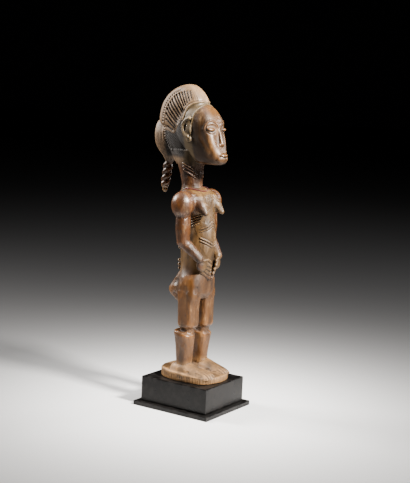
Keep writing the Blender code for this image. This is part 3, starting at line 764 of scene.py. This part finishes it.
def faceted(skin, normals):
    """How far to push each point towards the flat cut of a blade nearest to it."""
    rng = np.random.default_rng(SEED)
    z = skin.points[:, 2]
    candidates = rng.permutation(len(z))[:CUTS]
    tree = KDTree(len(candidates))
    for i, k in enumerate(candidates):
        tree.insert(skin.points[k], i)
    tree.balance()
    nearest = candidates[[tree.find(point)[1] for point in skin.points]]
    gap = ((skin.points[nearest] - skin.points) * normals[nearest]).sum(axis=1)
    head = skin.head_points()
    plain = 1 - between(z, 183, 213, 2) * step(np.abs(skin.points[:, 0]), 26, 22)
    plain *= 1 - 0.75 * step(z, 335, 342)
    plain *= 1 - step(head[:, 1], 52, 56) * step(z, 345, 338)
    same_way = (normals * normals[nearest]).sum(axis=1) > 0.7
    return np.clip(gap, -CUT_DEPTH, CUT_DEPTH) * CUT_SHARE * plain * same_way


def head_lines(skin, normals):
    """Height of the carved lines on hair and face at each point; below the skin is negative."""
    height = np.zeros(len(skin.points))
    picked = np.flatnonzero(skin.points[:, 2] > 330)
    head = skin.head_points()[picked]
    x, y, z = head.T
    side = np.abs(x)
    outward = np.abs(normals[picked, 0])
    lift = np.zeros(len(picked))

    flank = step(side, 5, 9)
    for i, line in enumerate(GROOVES):
        distance, share = near_line(y, z, line)
        faint = max(0.0, (i - BOLD_GROOVES) / (len(GROOVES) - BOLD_GROOVES))
        fade = step(share, 0.0, 0.06) * step(share, 1.0, 0.86) * (1.0 - FAINT_SHARE * faint)
        lift -= GROOVE_DEPTH * notch(distance, GROOVE_WIDTH) * fade * flank
    streak = (y * 0.87 - z * 0.5) / 1.9 + 0.5 * np.sin(z * 0.21)
    lift -= 0.16 * hill(streak - np.round(streak), 0.3) * flank * step(y, 16, 8) * step(z, 421, 424)

    for line, count in ((BORDER, BORDER_NOTCHES), (BEADS, BEAD_NOTCHES)):
        distance, share = near_line(y, z, line)
        ends = step(share, 0.0, 0.06)
        rung = share * count
        gap = hill(rung - np.round(rung), 0.36)
        lift += 0.6 * hill(distance - 3.2, 1.5) * ends * flank
        lift += (0.55 * (1 - gap) - 1.6 * gap) * hill(distance, 1.9) * ends * flank

    distance, share = near_line(y, z, HAIRLINE)
    lift += 0.8 * hill(distance, 1.4) * step(side, 3, 6) * step(z, 368, 374)
    distance, share = near_line(y, z, BAND_EDGE)
    lift += 0.7 * hill(distance, 1.5) * step(side, 2, 5)
    lift -= 0.5 * hill(distance - 2.2, 1.2) * step(side, 2, 5) * step(y, -6, 0)

    distance, share = near_line(y, z, EAR_SLOT)
    lift -= 2.4 * hill(distance, 1.7) * step(side, 15, 18)

    nape = step(y, 10, 17) * step(y, 55, 50) * between(z, 352, 392, 4) * step(side, 6, 10)
    nape *= step(z - z_on(NAPE_TOP, y), 1.0, -2.0)
    for angle, spacing, depth in NAPE_HATCH:
        a = math.radians(angle)
        across = (z * math.cos(a) - y * math.sin(a)) / spacing
        lift -= depth * hill(across - np.round(across), 0.34) * nape

    bun = step(y - y_on(BUN_EDGE, z), 0.0, 2.5) * between(z, 338, 393, 3)
    strands = np.arctan2(y - 60.0, side) * BUN_STRANDS
    lift -= 0.5 * hill(strands - np.round(strands), 0.3) * bun * (0.35 + 0.65 * step(z, 386, 366))

    front = step(y, -12, -18)
    for line, raised, width in FACE_LINES:
        distance, share = near_line(side, z, line)
        ends = step(share, 0, 0.08) * step(share, 1, 0.92)
        lift += raised * hill(distance, width) * front * (ends * 0.7 + 0.3)
    distance, share = near_line(x, z, MOUTH)
    lift -= 1.0 * hill(distance, 0.9) * front * step(y, -34, -37)
    distance, share = near_line(y, z, CHEEK_EDGE)
    cheek = step(side, 10, 14) * step(y, -8, -14) * outward
    lift -= 0.5 * hill(distance, 5.5) * cheek
    distance, share = near_line(y, z, JAW_RIDGE)
    lift += 0.45 * hill(distance, 5.0) * step(side, 10, 14)
    height[picked] = lift
    return height


def body_lines(skin, normals):
    """Height of the scars, the toe lines and the tool marks at each point."""
    x, y, z = skin.points.T
    side = np.abs(x)
    lift = np.zeros(len(x))
    arm = step(side, 21.5, 23.5) * between(z, 226, 300, 3)
    for scars, core, width, raised in SCAR_GROUPS:
        low = min(p[1] for line in scars for p in line) - 4
        high = max(p[1] for line in scars for p in line) + 4
        picked = np.flatnonzero((z > low) & (z < high) & (side < 24))
        angle = np.degrees(np.arctan2(side[picked], core - y[picked]))
        for line in scars:
            track = [(math.radians(a) * SCAR_RADIUS, h) for a, h in line]
            distance, share = near_line(np.radians(angle) * SCAR_RADIUS, z[picked], track)
            ends = step(share, 0, 0.06) * step(share, 1, 0.94)
            ridge = raised * hill(distance, width) - 0.35 * hill(distance - width - 0.5, 0.9)
            lift[picked] += ridge * (0.25 + 0.75 * ends) * (1 - arm[picked])
    picked = np.flatnonzero((z < 66) & (z > 46) & (y < -24))
    for edge in (-1, 1):
        middle = edge * FOOT[-2][1]
        for offset, front, back in TOE_LINES:
            track = ((middle + edge * offset, back), (middle + edge * offset * 1.05, front))
            distance, share = near_line(x[picked], y[picked], track, steps=1)
            fade = step(share, 0.0, 0.35) * step(normals[picked, 2], 0.1, 0.4)
            lift[picked] -= TOE_DEPTH * hill(distance, 0.95) * fade
    picked = np.flatnonzero((z < 50) & (np.abs(normals[:, 2]) < 0.5))
    run = np.arctan2(x[picked], -y[picked]) * 40
    wave = run / BASE_CUT_PITCH + 0.25 * np.sin(run * 0.37)
    lift[picked] -= BASE_CUT_DEPTH * hill(wave - np.round(wave), 0.4)
    return lift


def forms():
    """All the forms of the figure as one object in millimetres, the head turned."""
    bm = bmesh.new()
    head = bmesh.new()
    add_body(bm)
    add_column(head, HEAD)
    add_face(head)
    add_hair(head)
    bmesh.ops.transform(head, matrix=turned_head(), verts=head.verts)
    spare = bpy.data.meshes.new("head_forms")
    head.to_mesh(spare)
    head.free()
    bm.from_mesh(spare)
    bpy.data.meshes.remove(spare)
    mesh = bpy.data.meshes.new("forms")
    bm.to_mesh(mesh)
    bm.free()
    return mesh


def with_modifier(mesh, kind, **settings):
    """A new mesh: this one after one modifier."""
    obj = bpy.data.objects.new("workpiece", mesh)
    bpy.context.scene.collection.objects.link(obj)
    modifier = obj.modifiers.new("once", kind)
    for name, value in settings.items():
        setattr(modifier, name, value)
    graph = bpy.context.evaluated_depsgraph_get()
    made = bpy.data.meshes.new_from_object(obj.evaluated_get(graph))
    bpy.data.objects.remove(obj)
    bpy.data.meshes.remove(mesh)
    return made


def skin_of(mesh):
    """The mesh's points and faces, all of one size, as a Skin."""
    points = np.empty(len(mesh.vertices) * 3, np.float32)
    mesh.vertices.foreach_get("co", points)
    corners = np.empty(len(mesh.loops), np.int32)
    mesh.loops.foreach_get("vertex_index", corners)
    return Skin(points.reshape(-1, 3).astype(float), corners.reshape(len(mesh.polygons), -1))


def set_points(mesh, points):
    mesh.vertices.foreach_set("co", points.astype(np.float32).ravel())
    mesh.update()


def carved_mesh():
    """The figure's mesh in millimetres, with all its carving."""
    mesh = with_modifier(forms(), "REMESH", mode="VOXEL", voxel_size=VOXEL)
    skin = skin_of(mesh)
    rounds = 4
    skin.points = skin.relaxed(rounds)
    soft = skin.relaxed(3 * rounds)
    body = step(skin.points[:, 2], 330, 322)[:, None]
    hands = (between(skin.points[:, 2], 182, 214, 3) * step(skin.points[:, 1], -8, -12))[:, None]
    skin.points = skin.points + body * (1 - hands) * (soft - skin.points)
    x, y, z = skin.points.T
    shoulders = step(np.abs(x), 16, 22) * between(z, 270, 303, 3)
    seat = step(y, 4, 12) * between(z, 146, 192, 8)
    softest = skin.relaxed(15 * rounds)
    skin.points = skin.points + np.maximum(shoulders, seat)[:, None] * (softest - skin.points)
    normals = skin.normals()
    skin.points += sculpted(skin)[:, None] * normals
    skin.points += faceted(skin, normals)[:, None] * normals
    skin.points = skin.relaxed(1, 0.3)
    normals = skin.normals()
    height = head_lines(skin, normals) + body_lines(skin, normals)
    skin.points += height[:, None] * normals
    skin.points = skin.relaxed(1, 0.15)
    skin.points[:, 2] = np.maximum(skin.points[:, 2], BASE_BOTTOM)
    set_points(mesh, skin.points)
    kept = FIGURE_TRIANGLES / (2 * len(mesh.polygons))
    return with_modifier(mesh, "DECIMATE", ratio=kept, use_collapse_triangulate=True)


# Shader maths


class Socket:
    """An output socket of a shader tree, on which Python's operators make Math nodes."""

    def __init__(self, tree, socket):
        self.tree = tree
        self.socket = socket

    def node(self, kind, inputs=(), output=0, **settings):
        """Adds any node, sets its inputs by name or number, and gives one of its outputs."""
        made = self.tree.nodes.new(kind)
        for name, value in settings.items():
            setattr(made, name, value)
        for key, value in dict(inputs).items():
            if isinstance(value, Socket):
                self.tree.links.new(value.socket, made.inputs[key])
            else:
                made.inputs[key].default_value = value
        return Socket(self.tree, made.outputs[output])

    def maths(self, operation, *others, clamp=False):
        inputs = dict(enumerate((self, *others)))
        return self.node("ShaderNodeMath", inputs, operation=operation, use_clamp=clamp)

    def __add__(self, other):
        return self.maths("ADD", other)

    __radd__ = __add__

    def __sub__(self, other):
        return self.maths("SUBTRACT", other)

    def __rsub__(self, other):
        return (self * -1.0) + other

    def __mul__(self, other):
        return self.maths("MULTIPLY", other)

    __rmul__ = __mul__

    def __truediv__(self, other):
        return self.maths("DIVIDE", other)

    def __rtruediv__(self, other):
        return self.maths("POWER", -1.0) * other

    def __pow__(self, other):
        return self.maths("POWER", other)

    def clamped(self):
        return self.maths("ADD", 0.0, clamp=True)

    def ramp(self, low, high):
        """0 below low and 1 above high, smoothly."""
        inputs = {0: self, 1: low, 2: high, 3: 0.0, 4: 1.0}
        return self.node("ShaderNodeMapRange", inputs, interpolation_type="SMOOTHSTEP")

    def mix(self, first, second):
        """Between two colours by this factor."""
        inputs = {0: self, 6: first, 7: second}
        return self.node("ShaderNodeMix", inputs, output=2, data_type="RGBA")


class Paint:
    """A new material with its Principled shader, and the nodes most often wanted."""

    def __init__(self, name, roughness, **uniform):
        self.material = bpy.data.materials.new(name)
        self.material.use_nodes = True
        self.tree = self.material.node_tree
        self.shader = self.tree.nodes["Principled BSDF"]
        self.shader.inputs["Roughness"].default_value = roughness
        for key, value in uniform.items():
            self.shader.inputs[key.replace("_", " ").title().replace("Ior", "IOR")].default_value = value
        place = self.tree.nodes.new("ShaderNodeTexCoord")
        self.place = Socket(self.tree, place.outputs["Object"])

    def noise(self, scale, stretch=(1.0, 1.0, 1.0), detail=3.0, roughness=0.55):
        """Noise by place, its size set by scale in waves a metre."""
        moved = self.place.node("ShaderNodeMapping", {0: self.place, 3: stretch})
        return moved.node("ShaderNodeTexNoise", {0: moved, 2: scale, 3: detail, 4: roughness})

    def attribute(self, name, output=2):
        return self.place.node("ShaderNodeAttribute", output=output, attribute_name=name)

    def colour(self, socket):
        self.tree.links.new(socket.socket, self.shader.inputs["Base Color"])

    def roughness(self, socket):
        self.tree.links.new(socket.socket, self.shader.inputs["Roughness"])

    def bump(self, height, strength, distance):
        inputs = {"Strength": strength, "Distance": distance, "Height": height}
        made = self.place.node("ShaderNodeBump", inputs)
        self.tree.links.new(made.socket, self.shader.inputs["Normal"])


RUBBED = (0.42, 0.28, 0.14, 1)
BLACK = (0.0035, 0.0033, 0.0034, 1)
WORN_BLACK = (0.03, 0.027, 0.025, 1)
THREAD_DARK = (0.03, 0.003, 0.004, 1)
THREAD_RED = (0.15, 0.013, 0.016, 1)


def wood_paint():
    """Old carved wood: its colour and gloss come from the mesh, its grain and pores from noise."""
    paint = Paint("carved_wood", 0.4, specular_ior_level=0.75)
    tone = paint.attribute("tone", 0)
    gloss = paint.attribute("gloss")
    grain = paint.noise(300.0, (1.0, 1.0, 0.1), 4.0, 0.65)
    blotch = paint.noise(48.0, (1.0, 1.0, 0.6), 4.0, 0.6)
    smear = paint.noise(130.0, (1.0, 1.0, 0.45), 4.0, 0.6)
    pores = paint.noise(700.0, (1.0, 1.0, 0.22), 2.0).ramp(0.6, 0.72)
    light = (0.2 + 0.85 * grain + 0.35 * smear) * (0.45 + 1.1 * blotch)
    light = light * (1.0 - 0.55 * pores)
    shade = light.node("ShaderNodeCombineColor", {0: light, 1: light, 2: light})
    both = {0: 1.0, 6: tone, 7: shade}
    stained = tone.node("ShaderNodeMix", both, 2, data_type="RGBA", blend_type="MULTIPLY")
    rubbed = smear.ramp(0.52, 0.68) * grain.ramp(0.35, 0.7) * 0.4 * gloss
    paint.colour(rubbed.mix(stained, RUBBED))
    uneven = 0.3 * (blotch - 0.5) + 0.24 * (smear - 0.5) + 0.15 * pores
    paint.roughness((0.66 - 0.3 * gloss + uneven).clamped())
    fine = grain * 0.7 - pores * 0.7 + 0.5 * smear + 0.4 * paint.noise(1500.0, (1.0, 1.0, 0.4), 2.0)
    paint.bump(fine, 0.5, 0.0002)
    return paint.material


def black_paint():
    """Satin black paint on a plain block, rubbed a little at its edges and dusty on top."""
    paint = Paint("black_wood", 0.3, specular_ior_level=0.3)
    geometry = paint.place.node("ShaderNodeNewGeometry", output=7)
    worn = geometry.ramp(0.53, 0.6) * paint.noise(160.0, detail=4.0).ramp(0.4, 0.65)
    dust = paint.noise(60.0, detail=5.0)
    paint.colour((worn * 0.6 + dust * 0.22).clamped().mix(BLACK, WORN_BLACK))
    paint.roughness(0.2 + 0.2 * dust + 0.2 * worn)
    paint.bump(paint.noise(700.0, (1.0, 1.0, 1.0), 3.0), 0.12, 0.0001)
    return paint.material


def thread_paint():
    """Dark red cotton, with fibres along the ply."""
    paint = Paint("red_thread", 0.85, sheen_weight=0.4, sheen_roughness=0.4)
    fibre = paint.noise(2600.0, detail=2.0)
    paint.colour(fibre.mix(THREAD_DARK, THREAD_RED))
    paint.bump(fibre, 0.5, 0.0001)
    return paint.material


# Colour of the wood, with painted shade and painted highlight


OCHRE = (0.19, 0.108, 0.04)
BROWN = (0.095, 0.038, 0.013)
ORANGE = (0.135, 0.06, 0.02)
FACE = (0.125, 0.06, 0.022)
HAIR = (0.22, 0.138, 0.074)
OLIVE = (0.10, 0.07, 0.03)
PALE = (0.33, 0.185, 0.078)
# Near black for painted shade in grooves, creases and hollows
DARK = (0.006, 0.0032, 0.002)
# Dark brown for mottled dirt, and for painted shade on the nape, under the chin, on the side planes of the
# face and on the far side of the feet and base
SOOT_AND_SHADE = (0.012, 0.007, 0.004)


def blend(colour, other, weight):
    return colour + weight[:, None] * (np.array(other) - colour)


def toned(skin):
    """(colour, gloss) of the wood at each point; the colour holds painted shade and painted highlight as
    well as the wood's own tones.
    """
    normals = skin.normals()
    small = ((skin.relaxed(3) - skin.points) * normals).sum(axis=1)
    large = ((skin.relaxed(40) - skin.points) * normals).sum(axis=1)
    x, y, z = skin.points.T
    hx, hy, hz = skin.head_points().T
    side = np.abs(hx)
    colour = np.tile(np.array(BROWN), (len(x), 1))
    torso = between(z, 184, 300, 8) * step(np.abs(x), 24, 19)
    colour = blend(colour, OCHRE, 0.85 * torso)
    colour = blend(colour, ORANGE, between(z, 66, 184, 10))
    colour = blend(colour, PALE, step(z, 70, 60))
    head = step(z, 333, 343)
    colour = blend(colour, FACE, head)
    hair = np.maximum(step(hy - y_on(HAIRLINE, hz), -2.2, -1.2), step(hz, 418, 421)) * head
    band = hair * step(hy - y_on(BAND_EDGE, hz), 0.5, -1.0)
    colour = blend(colour, HAIR, hair)
    colour = blend(colour, OLIVE, band * 0.8)
    # Painted shade: the nape hair under the overhang of the crest is made near black
    nape = step(hz - z_on(NAPE_TOP, hy), 0.5, -2.5) * step(hy, 12, 18) * step(hy, 56, 50)
    nape = nape * between(z, 348, 400, 5)
    colour = blend(colour, SOOT_AND_SHADE, 0.93 * nape * step(side, 4, 8))
    carved = head_lines(skin, normals) + body_lines(skin, normals)
    # Masks of grooves and creases, and of broad hollows, for painted shade
    crease_shade = np.maximum(step(small, 0.03, 0.2), step(-carved, 0.15, 0.8))
    hollow_shade = step(large, 0.3, 1.8)
    raised = step(-large, 0.15, 1.2)
    patch = np.sin(x * 0.21 + 1.3 * np.sin(z * 0.071)) * np.sin(y * 0.19 + 1.7 * np.sin(z * 0.053 + 1.0))
    dirt = step(patch, 0.15, 0.9) * (1 - hair)
    colour = blend(colour, SOOT_AND_SHADE, 0.5 * dirt)
    # Painted shade under the jaw and chin
    chin_shade = step(hz, 350, 343) * step(hy, -10, -20)
    colour = blend(colour, SOOT_AND_SHADE, 0.45 * chin_shade)
    # Painted shade on the side planes of the face, picked by the way they face
    face_side_shade = step(np.abs(normals[:, 0]), 0.4, 0.85) * step(hy, -29, -19) * (1 - hair) * head
    colour = blend(colour, SOOT_AND_SHADE, 0.7 * face_side_shade)
    # Painted shade on the far back side of the feet and base, away from the key light
    feet_far_shade = step(z, 64, 56) * step(x + 0.7 * y, -6, 24)
    colour = blend(colour, SOOT_AND_SHADE, 0.5 * feet_far_shade)
    # Painted shade: grooves and small creases made near black
    colour = blend(colour, DARK, 0.9 * crease_shade)
    # Painted shade: broad hollows such as under the breasts, between the legs and under the crest made
    # darker
    colour = blend(colour, DARK, 0.7 * hollow_shade)
    # Lighter on broad bulges and raised carved lines: rubbed wear and painted highlight
    colour = colour * (1 + 0.5 * np.maximum(raised, step(carved, 0.2, 0.7)))[:, None]
    gloss = np.clip(0.62 + 0.38 * raised - 0.8 * crease_shade - 0.5 * hollow_shade - 0.3 * dirt, 0, 1)
    gloss = gloss * (1 - 0.7 * step(z, 72, 60)) * (1 - 0.55 * hair) * (1 - nape) * (1 - 0.5 * chin_shade)
    return colour, gloss


# Pieces


def piece(name, mesh, material):
    """A shown object that rides on the part, with the material it is given."""
    obj = bpy.data.objects.new(name, mesh)
    bpy.context.scene.collection.objects.link(obj)
    mesh.materials.clear()
    mesh.materials.append(material)
    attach(obj, "root")
    return obj


def make_figure(material):
    mesh = carved_mesh()
    mesh.name = "figure_carving"
    skin = skin_of(mesh)
    colour, gloss = toned(skin)
    # The tone carries painted shade and painted highlight along with the wood's colours
    tone = mesh.attributes.new("tone", "FLOAT_COLOR", "POINT")
    opaque = np.column_stack([colour, np.ones(len(colour))])
    tone.data.foreach_set("color", opaque.astype(np.float32).ravel())
    shine = mesh.attributes.new("gloss", "FLOAT", "POINT")
    shine.data.foreach_set("value", gloss.astype(np.float32))
    set_points(mesh, skin.points * MM)
    mesh.shade_smooth()
    figure = piece("figure_carving", mesh, material)
    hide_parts("figure")
    return BVHTree.FromPolygons(skin.points.tolist(), skin.faces.tolist())


# Geometry Nodes


class Tree:
    """A Geometry Nodes tree that one modifier runs."""

    def __init__(self, name, sockets):
        self.group = bpy.data.node_groups.new(name, "GeometryNodeTree")
        self.group.interface.new_socket("Geometry", in_out="INPUT", socket_type="NodeSocketGeometry")
        self.group.interface.new_socket("Geometry", in_out="OUTPUT", socket_type="NodeSocketGeometry")
        self.keys = {}
        for label, kind in sockets.items():
            socket = self.group.interface.new_socket(label, in_out="INPUT", socket_type=kind)
            self.keys[label] = socket.identifier
        self.given = self.group.nodes.new("NodeGroupInput")
        self.result = self.group.nodes.new("NodeGroupOutput")

    def value(self, label):
        return Socket(self.group, self.given.outputs[label])

    def finish(self, geometry):
        self.group.links.new(geometry.socket, self.result.inputs[0])

    def run(self, obj, **values):
        """The mesh that the tree makes of the object, with its inputs set by name."""
        modifier = obj.modifiers.new("made", "NODES")
        modifier.node_group = self.group
        for label, value in values.items():
            modifier[self.keys[label]] = value
        graph = bpy.context.evaluated_depsgraph_get()
        made = bpy.data.meshes.new_from_object(obj.evaluated_get(graph))
        obj.modifiers.remove(modifier)
        bpy.data.objects.remove(obj)
        return made


def guide(name, points):
    """A closed curve object through the points, given in millimetres."""
    curve = bpy.data.curves.new(name, "CURVE")
    curve.dimensions = "3D"
    spline = curve.splines.new("POLY")
    spline.points.add(len(points) - 1)
    for slot, point in zip(spline.points, points):
        slot.co = (*(Vector(point) * MM), 1.0)
    spline.use_cyclic_u = True
    obj = bpy.data.objects.new(name, curve)
    bpy.context.scene.collection.objects.link(obj)
    return obj


def ply_tree():
    """Two plies twisted round a closed curve."""
    kinds = dict.fromkeys(("turns", "offset", "ply"), "NodeSocketFloat")
    tree = Tree("twisted_thread", {**kinds, "material": "NodeSocketMaterial"})
    curve = tree.value("Geometry")
    path = curve.node("GeometryNodeResampleCurve", {"Curve": curve, "Length": THREAD_STEP}, mode="LENGTH")
    part = path.node("GeometryNodeSplineParameter")
    normal = path.node("GeometryNodeInputNormal")
    tangent = path.node("GeometryNodeInputTangent")
    side = path.node("ShaderNodeVectorMath", {0: normal, 1: tangent}, operation="CROSS_PRODUCT")
    profile = path.node("GeometryNodeCurvePrimitiveCircle", {"Radius": tree.value("ply"), "Resolution": 8})
    plies = []
    for phase in (0.0, math.pi):
        angle = part * tree.value("turns") * (2 * math.pi) + phase
        out = angle.maths("COSINE") * tree.value("offset")
        over = angle.maths("SINE") * tree.value("offset")
        out = normal.node("ShaderNodeVectorMath", {0: normal, "Scale": out}, operation="SCALE")
        over = side.node("ShaderNodeVectorMath", {0: side, "Scale": over}, operation="SCALE")
        move = out.node("ShaderNodeVectorMath", {0: out, 1: over}, operation="ADD")
        ply = path.node("GeometryNodeSetPosition", {"Geometry": path, "Offset": move})
        plies.append(ply.node("GeometryNodeCurveToMesh", {"Curve": ply, "Profile Curve": profile}))
    both = tree.group.nodes.new("GeometryNodeJoinGeometry")
    for ply in plies:
        tree.group.links.new(ply.socket, both.inputs[0])
    joined = Socket(tree.group, both.outputs[0])
    smooth = joined.node("GeometryNodeSetShadeSmooth", {"Geometry": joined})
    painted = {"Geometry": smooth, "Material": tree.value("material")}
    tree.finish(smooth.node("GeometryNodeSetMaterial", painted))
    return tree


def make_thread(surface, material):
    """The twisted thread on the shoulders round the neck."""
    rests = []
    for i in range(THREAD_POINTS):
        angle = 2 * math.pi * i / THREAD_POINTS
        ends = []
        for radius, z in (THREAD_RAY_START, THREAD_RAY_END):
            ends.append(Vector((radius * math.sin(angle), THREAD_CENTRE_Y - radius * math.cos(angle), z)))
        point, normal, _, _ = surface.ray_cast(ends[0], ends[1] - ends[0])
        rests.append(point + THREAD_RADIUS * normal)
    for _ in range(2):
        after = rests[1:] + rests[:1]
        rests = [(rests[i - 1] + 2 * rests[i] + after[i]) / 4 for i in range(THREAD_POINTS)]
    length = sum((rests[i] - rests[i - 1]).length for i in range(THREAD_POINTS))
    mesh = ply_tree().run(
        guide("thread_path", rests),
        turns=float(round(length / THREAD_PITCH)),
        offset=PLY_OFFSET * THREAD_RADIUS * MM,
        ply=PLY_RADIUS * THREAD_RADIUS * MM,
        material=material,
    )
    thread = piece("neck_thread_plies", mesh, material)
    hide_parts("neck_thread")


# Stage


def make_stage():
    """A plain pale floor painted with a pool of light that darkens with distance, under a dark plain sky.
    """
    bm = bmesh.new()
    bmesh.ops.create_grid(bm, x_segments=1, y_segments=1, size=FLOOR_REACH)
    mesh = bpy.data.meshes.new("floor")
    bm.to_mesh(mesh)
    bm.free()
    floor = bpy.data.objects.new("floor", mesh)
    bpy.context.scene.collection.objects.link(floor)
    paint = Paint("floor", FLOOR_ROUGHNESS)
    away = paint.place.node("ShaderNodeVectorMath", {0: paint.place}, output=1, operation="LENGTH")
    # Painted pool of light: the floor is pale near the figure and falls to near black farther away
    near = 1.0 / (1.0 + (away / FLOOR_HALF) ** FLOOR_FALL)
    paint.colour(near.mix(FLOOR_FAR, FLOOR_NEAR))
    mesh.materials.append(paint.material)
    world = bpy.data.worlds.new("studio")
    bpy.context.scene.world = world
    world.use_nodes = True
    world.node_tree.nodes["Background"].inputs["Color"].default_value = WORLD_COLOUR
    world.node_tree.nodes["Background"].inputs["Strength"].default_value = 1.0


def add_light(name, azimuth, elevation, distance, size, power, colour):
    """A soft square light aimed at the figure's middle; azimuth 0 is in front of it."""
    light = bpy.data.lights.new(name, "AREA")
    light.size = size
    light.energy = power
    light.color = colour
    obj = bpy.data.objects.new(name, light)
    a, e = math.radians(azimuth), math.radians(elevation)
    aim = Vector(LIGHT_AIM)
    away = Vector((math.sin(a) * math.cos(e), -math.cos(a) * math.cos(e), math.sin(e)))
    obj.location = aim + distance * away
    obj.rotation_euler = (aim - obj.location).to_track_quat("-Z", "Y").to_euler()
    bpy.context.scene.collection.objects.link(obj)


def make_camera():
    data = bpy.data.cameras.new("photograph")
    data.sensor_width = CAMERA_SENSOR
    data.lens = CAMERA_FOCAL * CAMERA_SENSOR / PHOTO_HEIGHT
    camera = bpy.data.objects.new("photograph", data)
    a, e, r = (math.radians(v) for v in (CAMERA_AZIMUTH, CAMERA_PITCH, CAMERA_ROLL))
    back = Vector((math.sin(a) * math.cos(e), -math.cos(a) * math.cos(e), math.sin(e)))
    right = Vector((0, 0, 1)).cross(back).normalized()
    up = back.cross(right)
    turned_right = math.cos(r) * right + math.sin(r) * up
    turned_up = math.cos(r) * up - math.sin(r) * right
    turn = Matrix((turned_right, turned_up, back)).transposed().to_4x4()
    camera.matrix_world = Matrix.Translation(CAMERA_PLACE) @ turn
    bpy.context.scene.collection.objects.link(camera)
    bpy.context.scene.camera = camera


def main():
    bpy.context.scene.view_settings.look = LOOK
    make_camera()
    make_stage()
    for row in LIGHTS:
        add_light(*row)
    surface = make_figure(wood_paint())
    make_thread(surface, thread_paint())
    black = black_paint()
    for name in ("plinth_plate", "plinth_block"):
        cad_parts[name].material_slots[0].material = black


main()
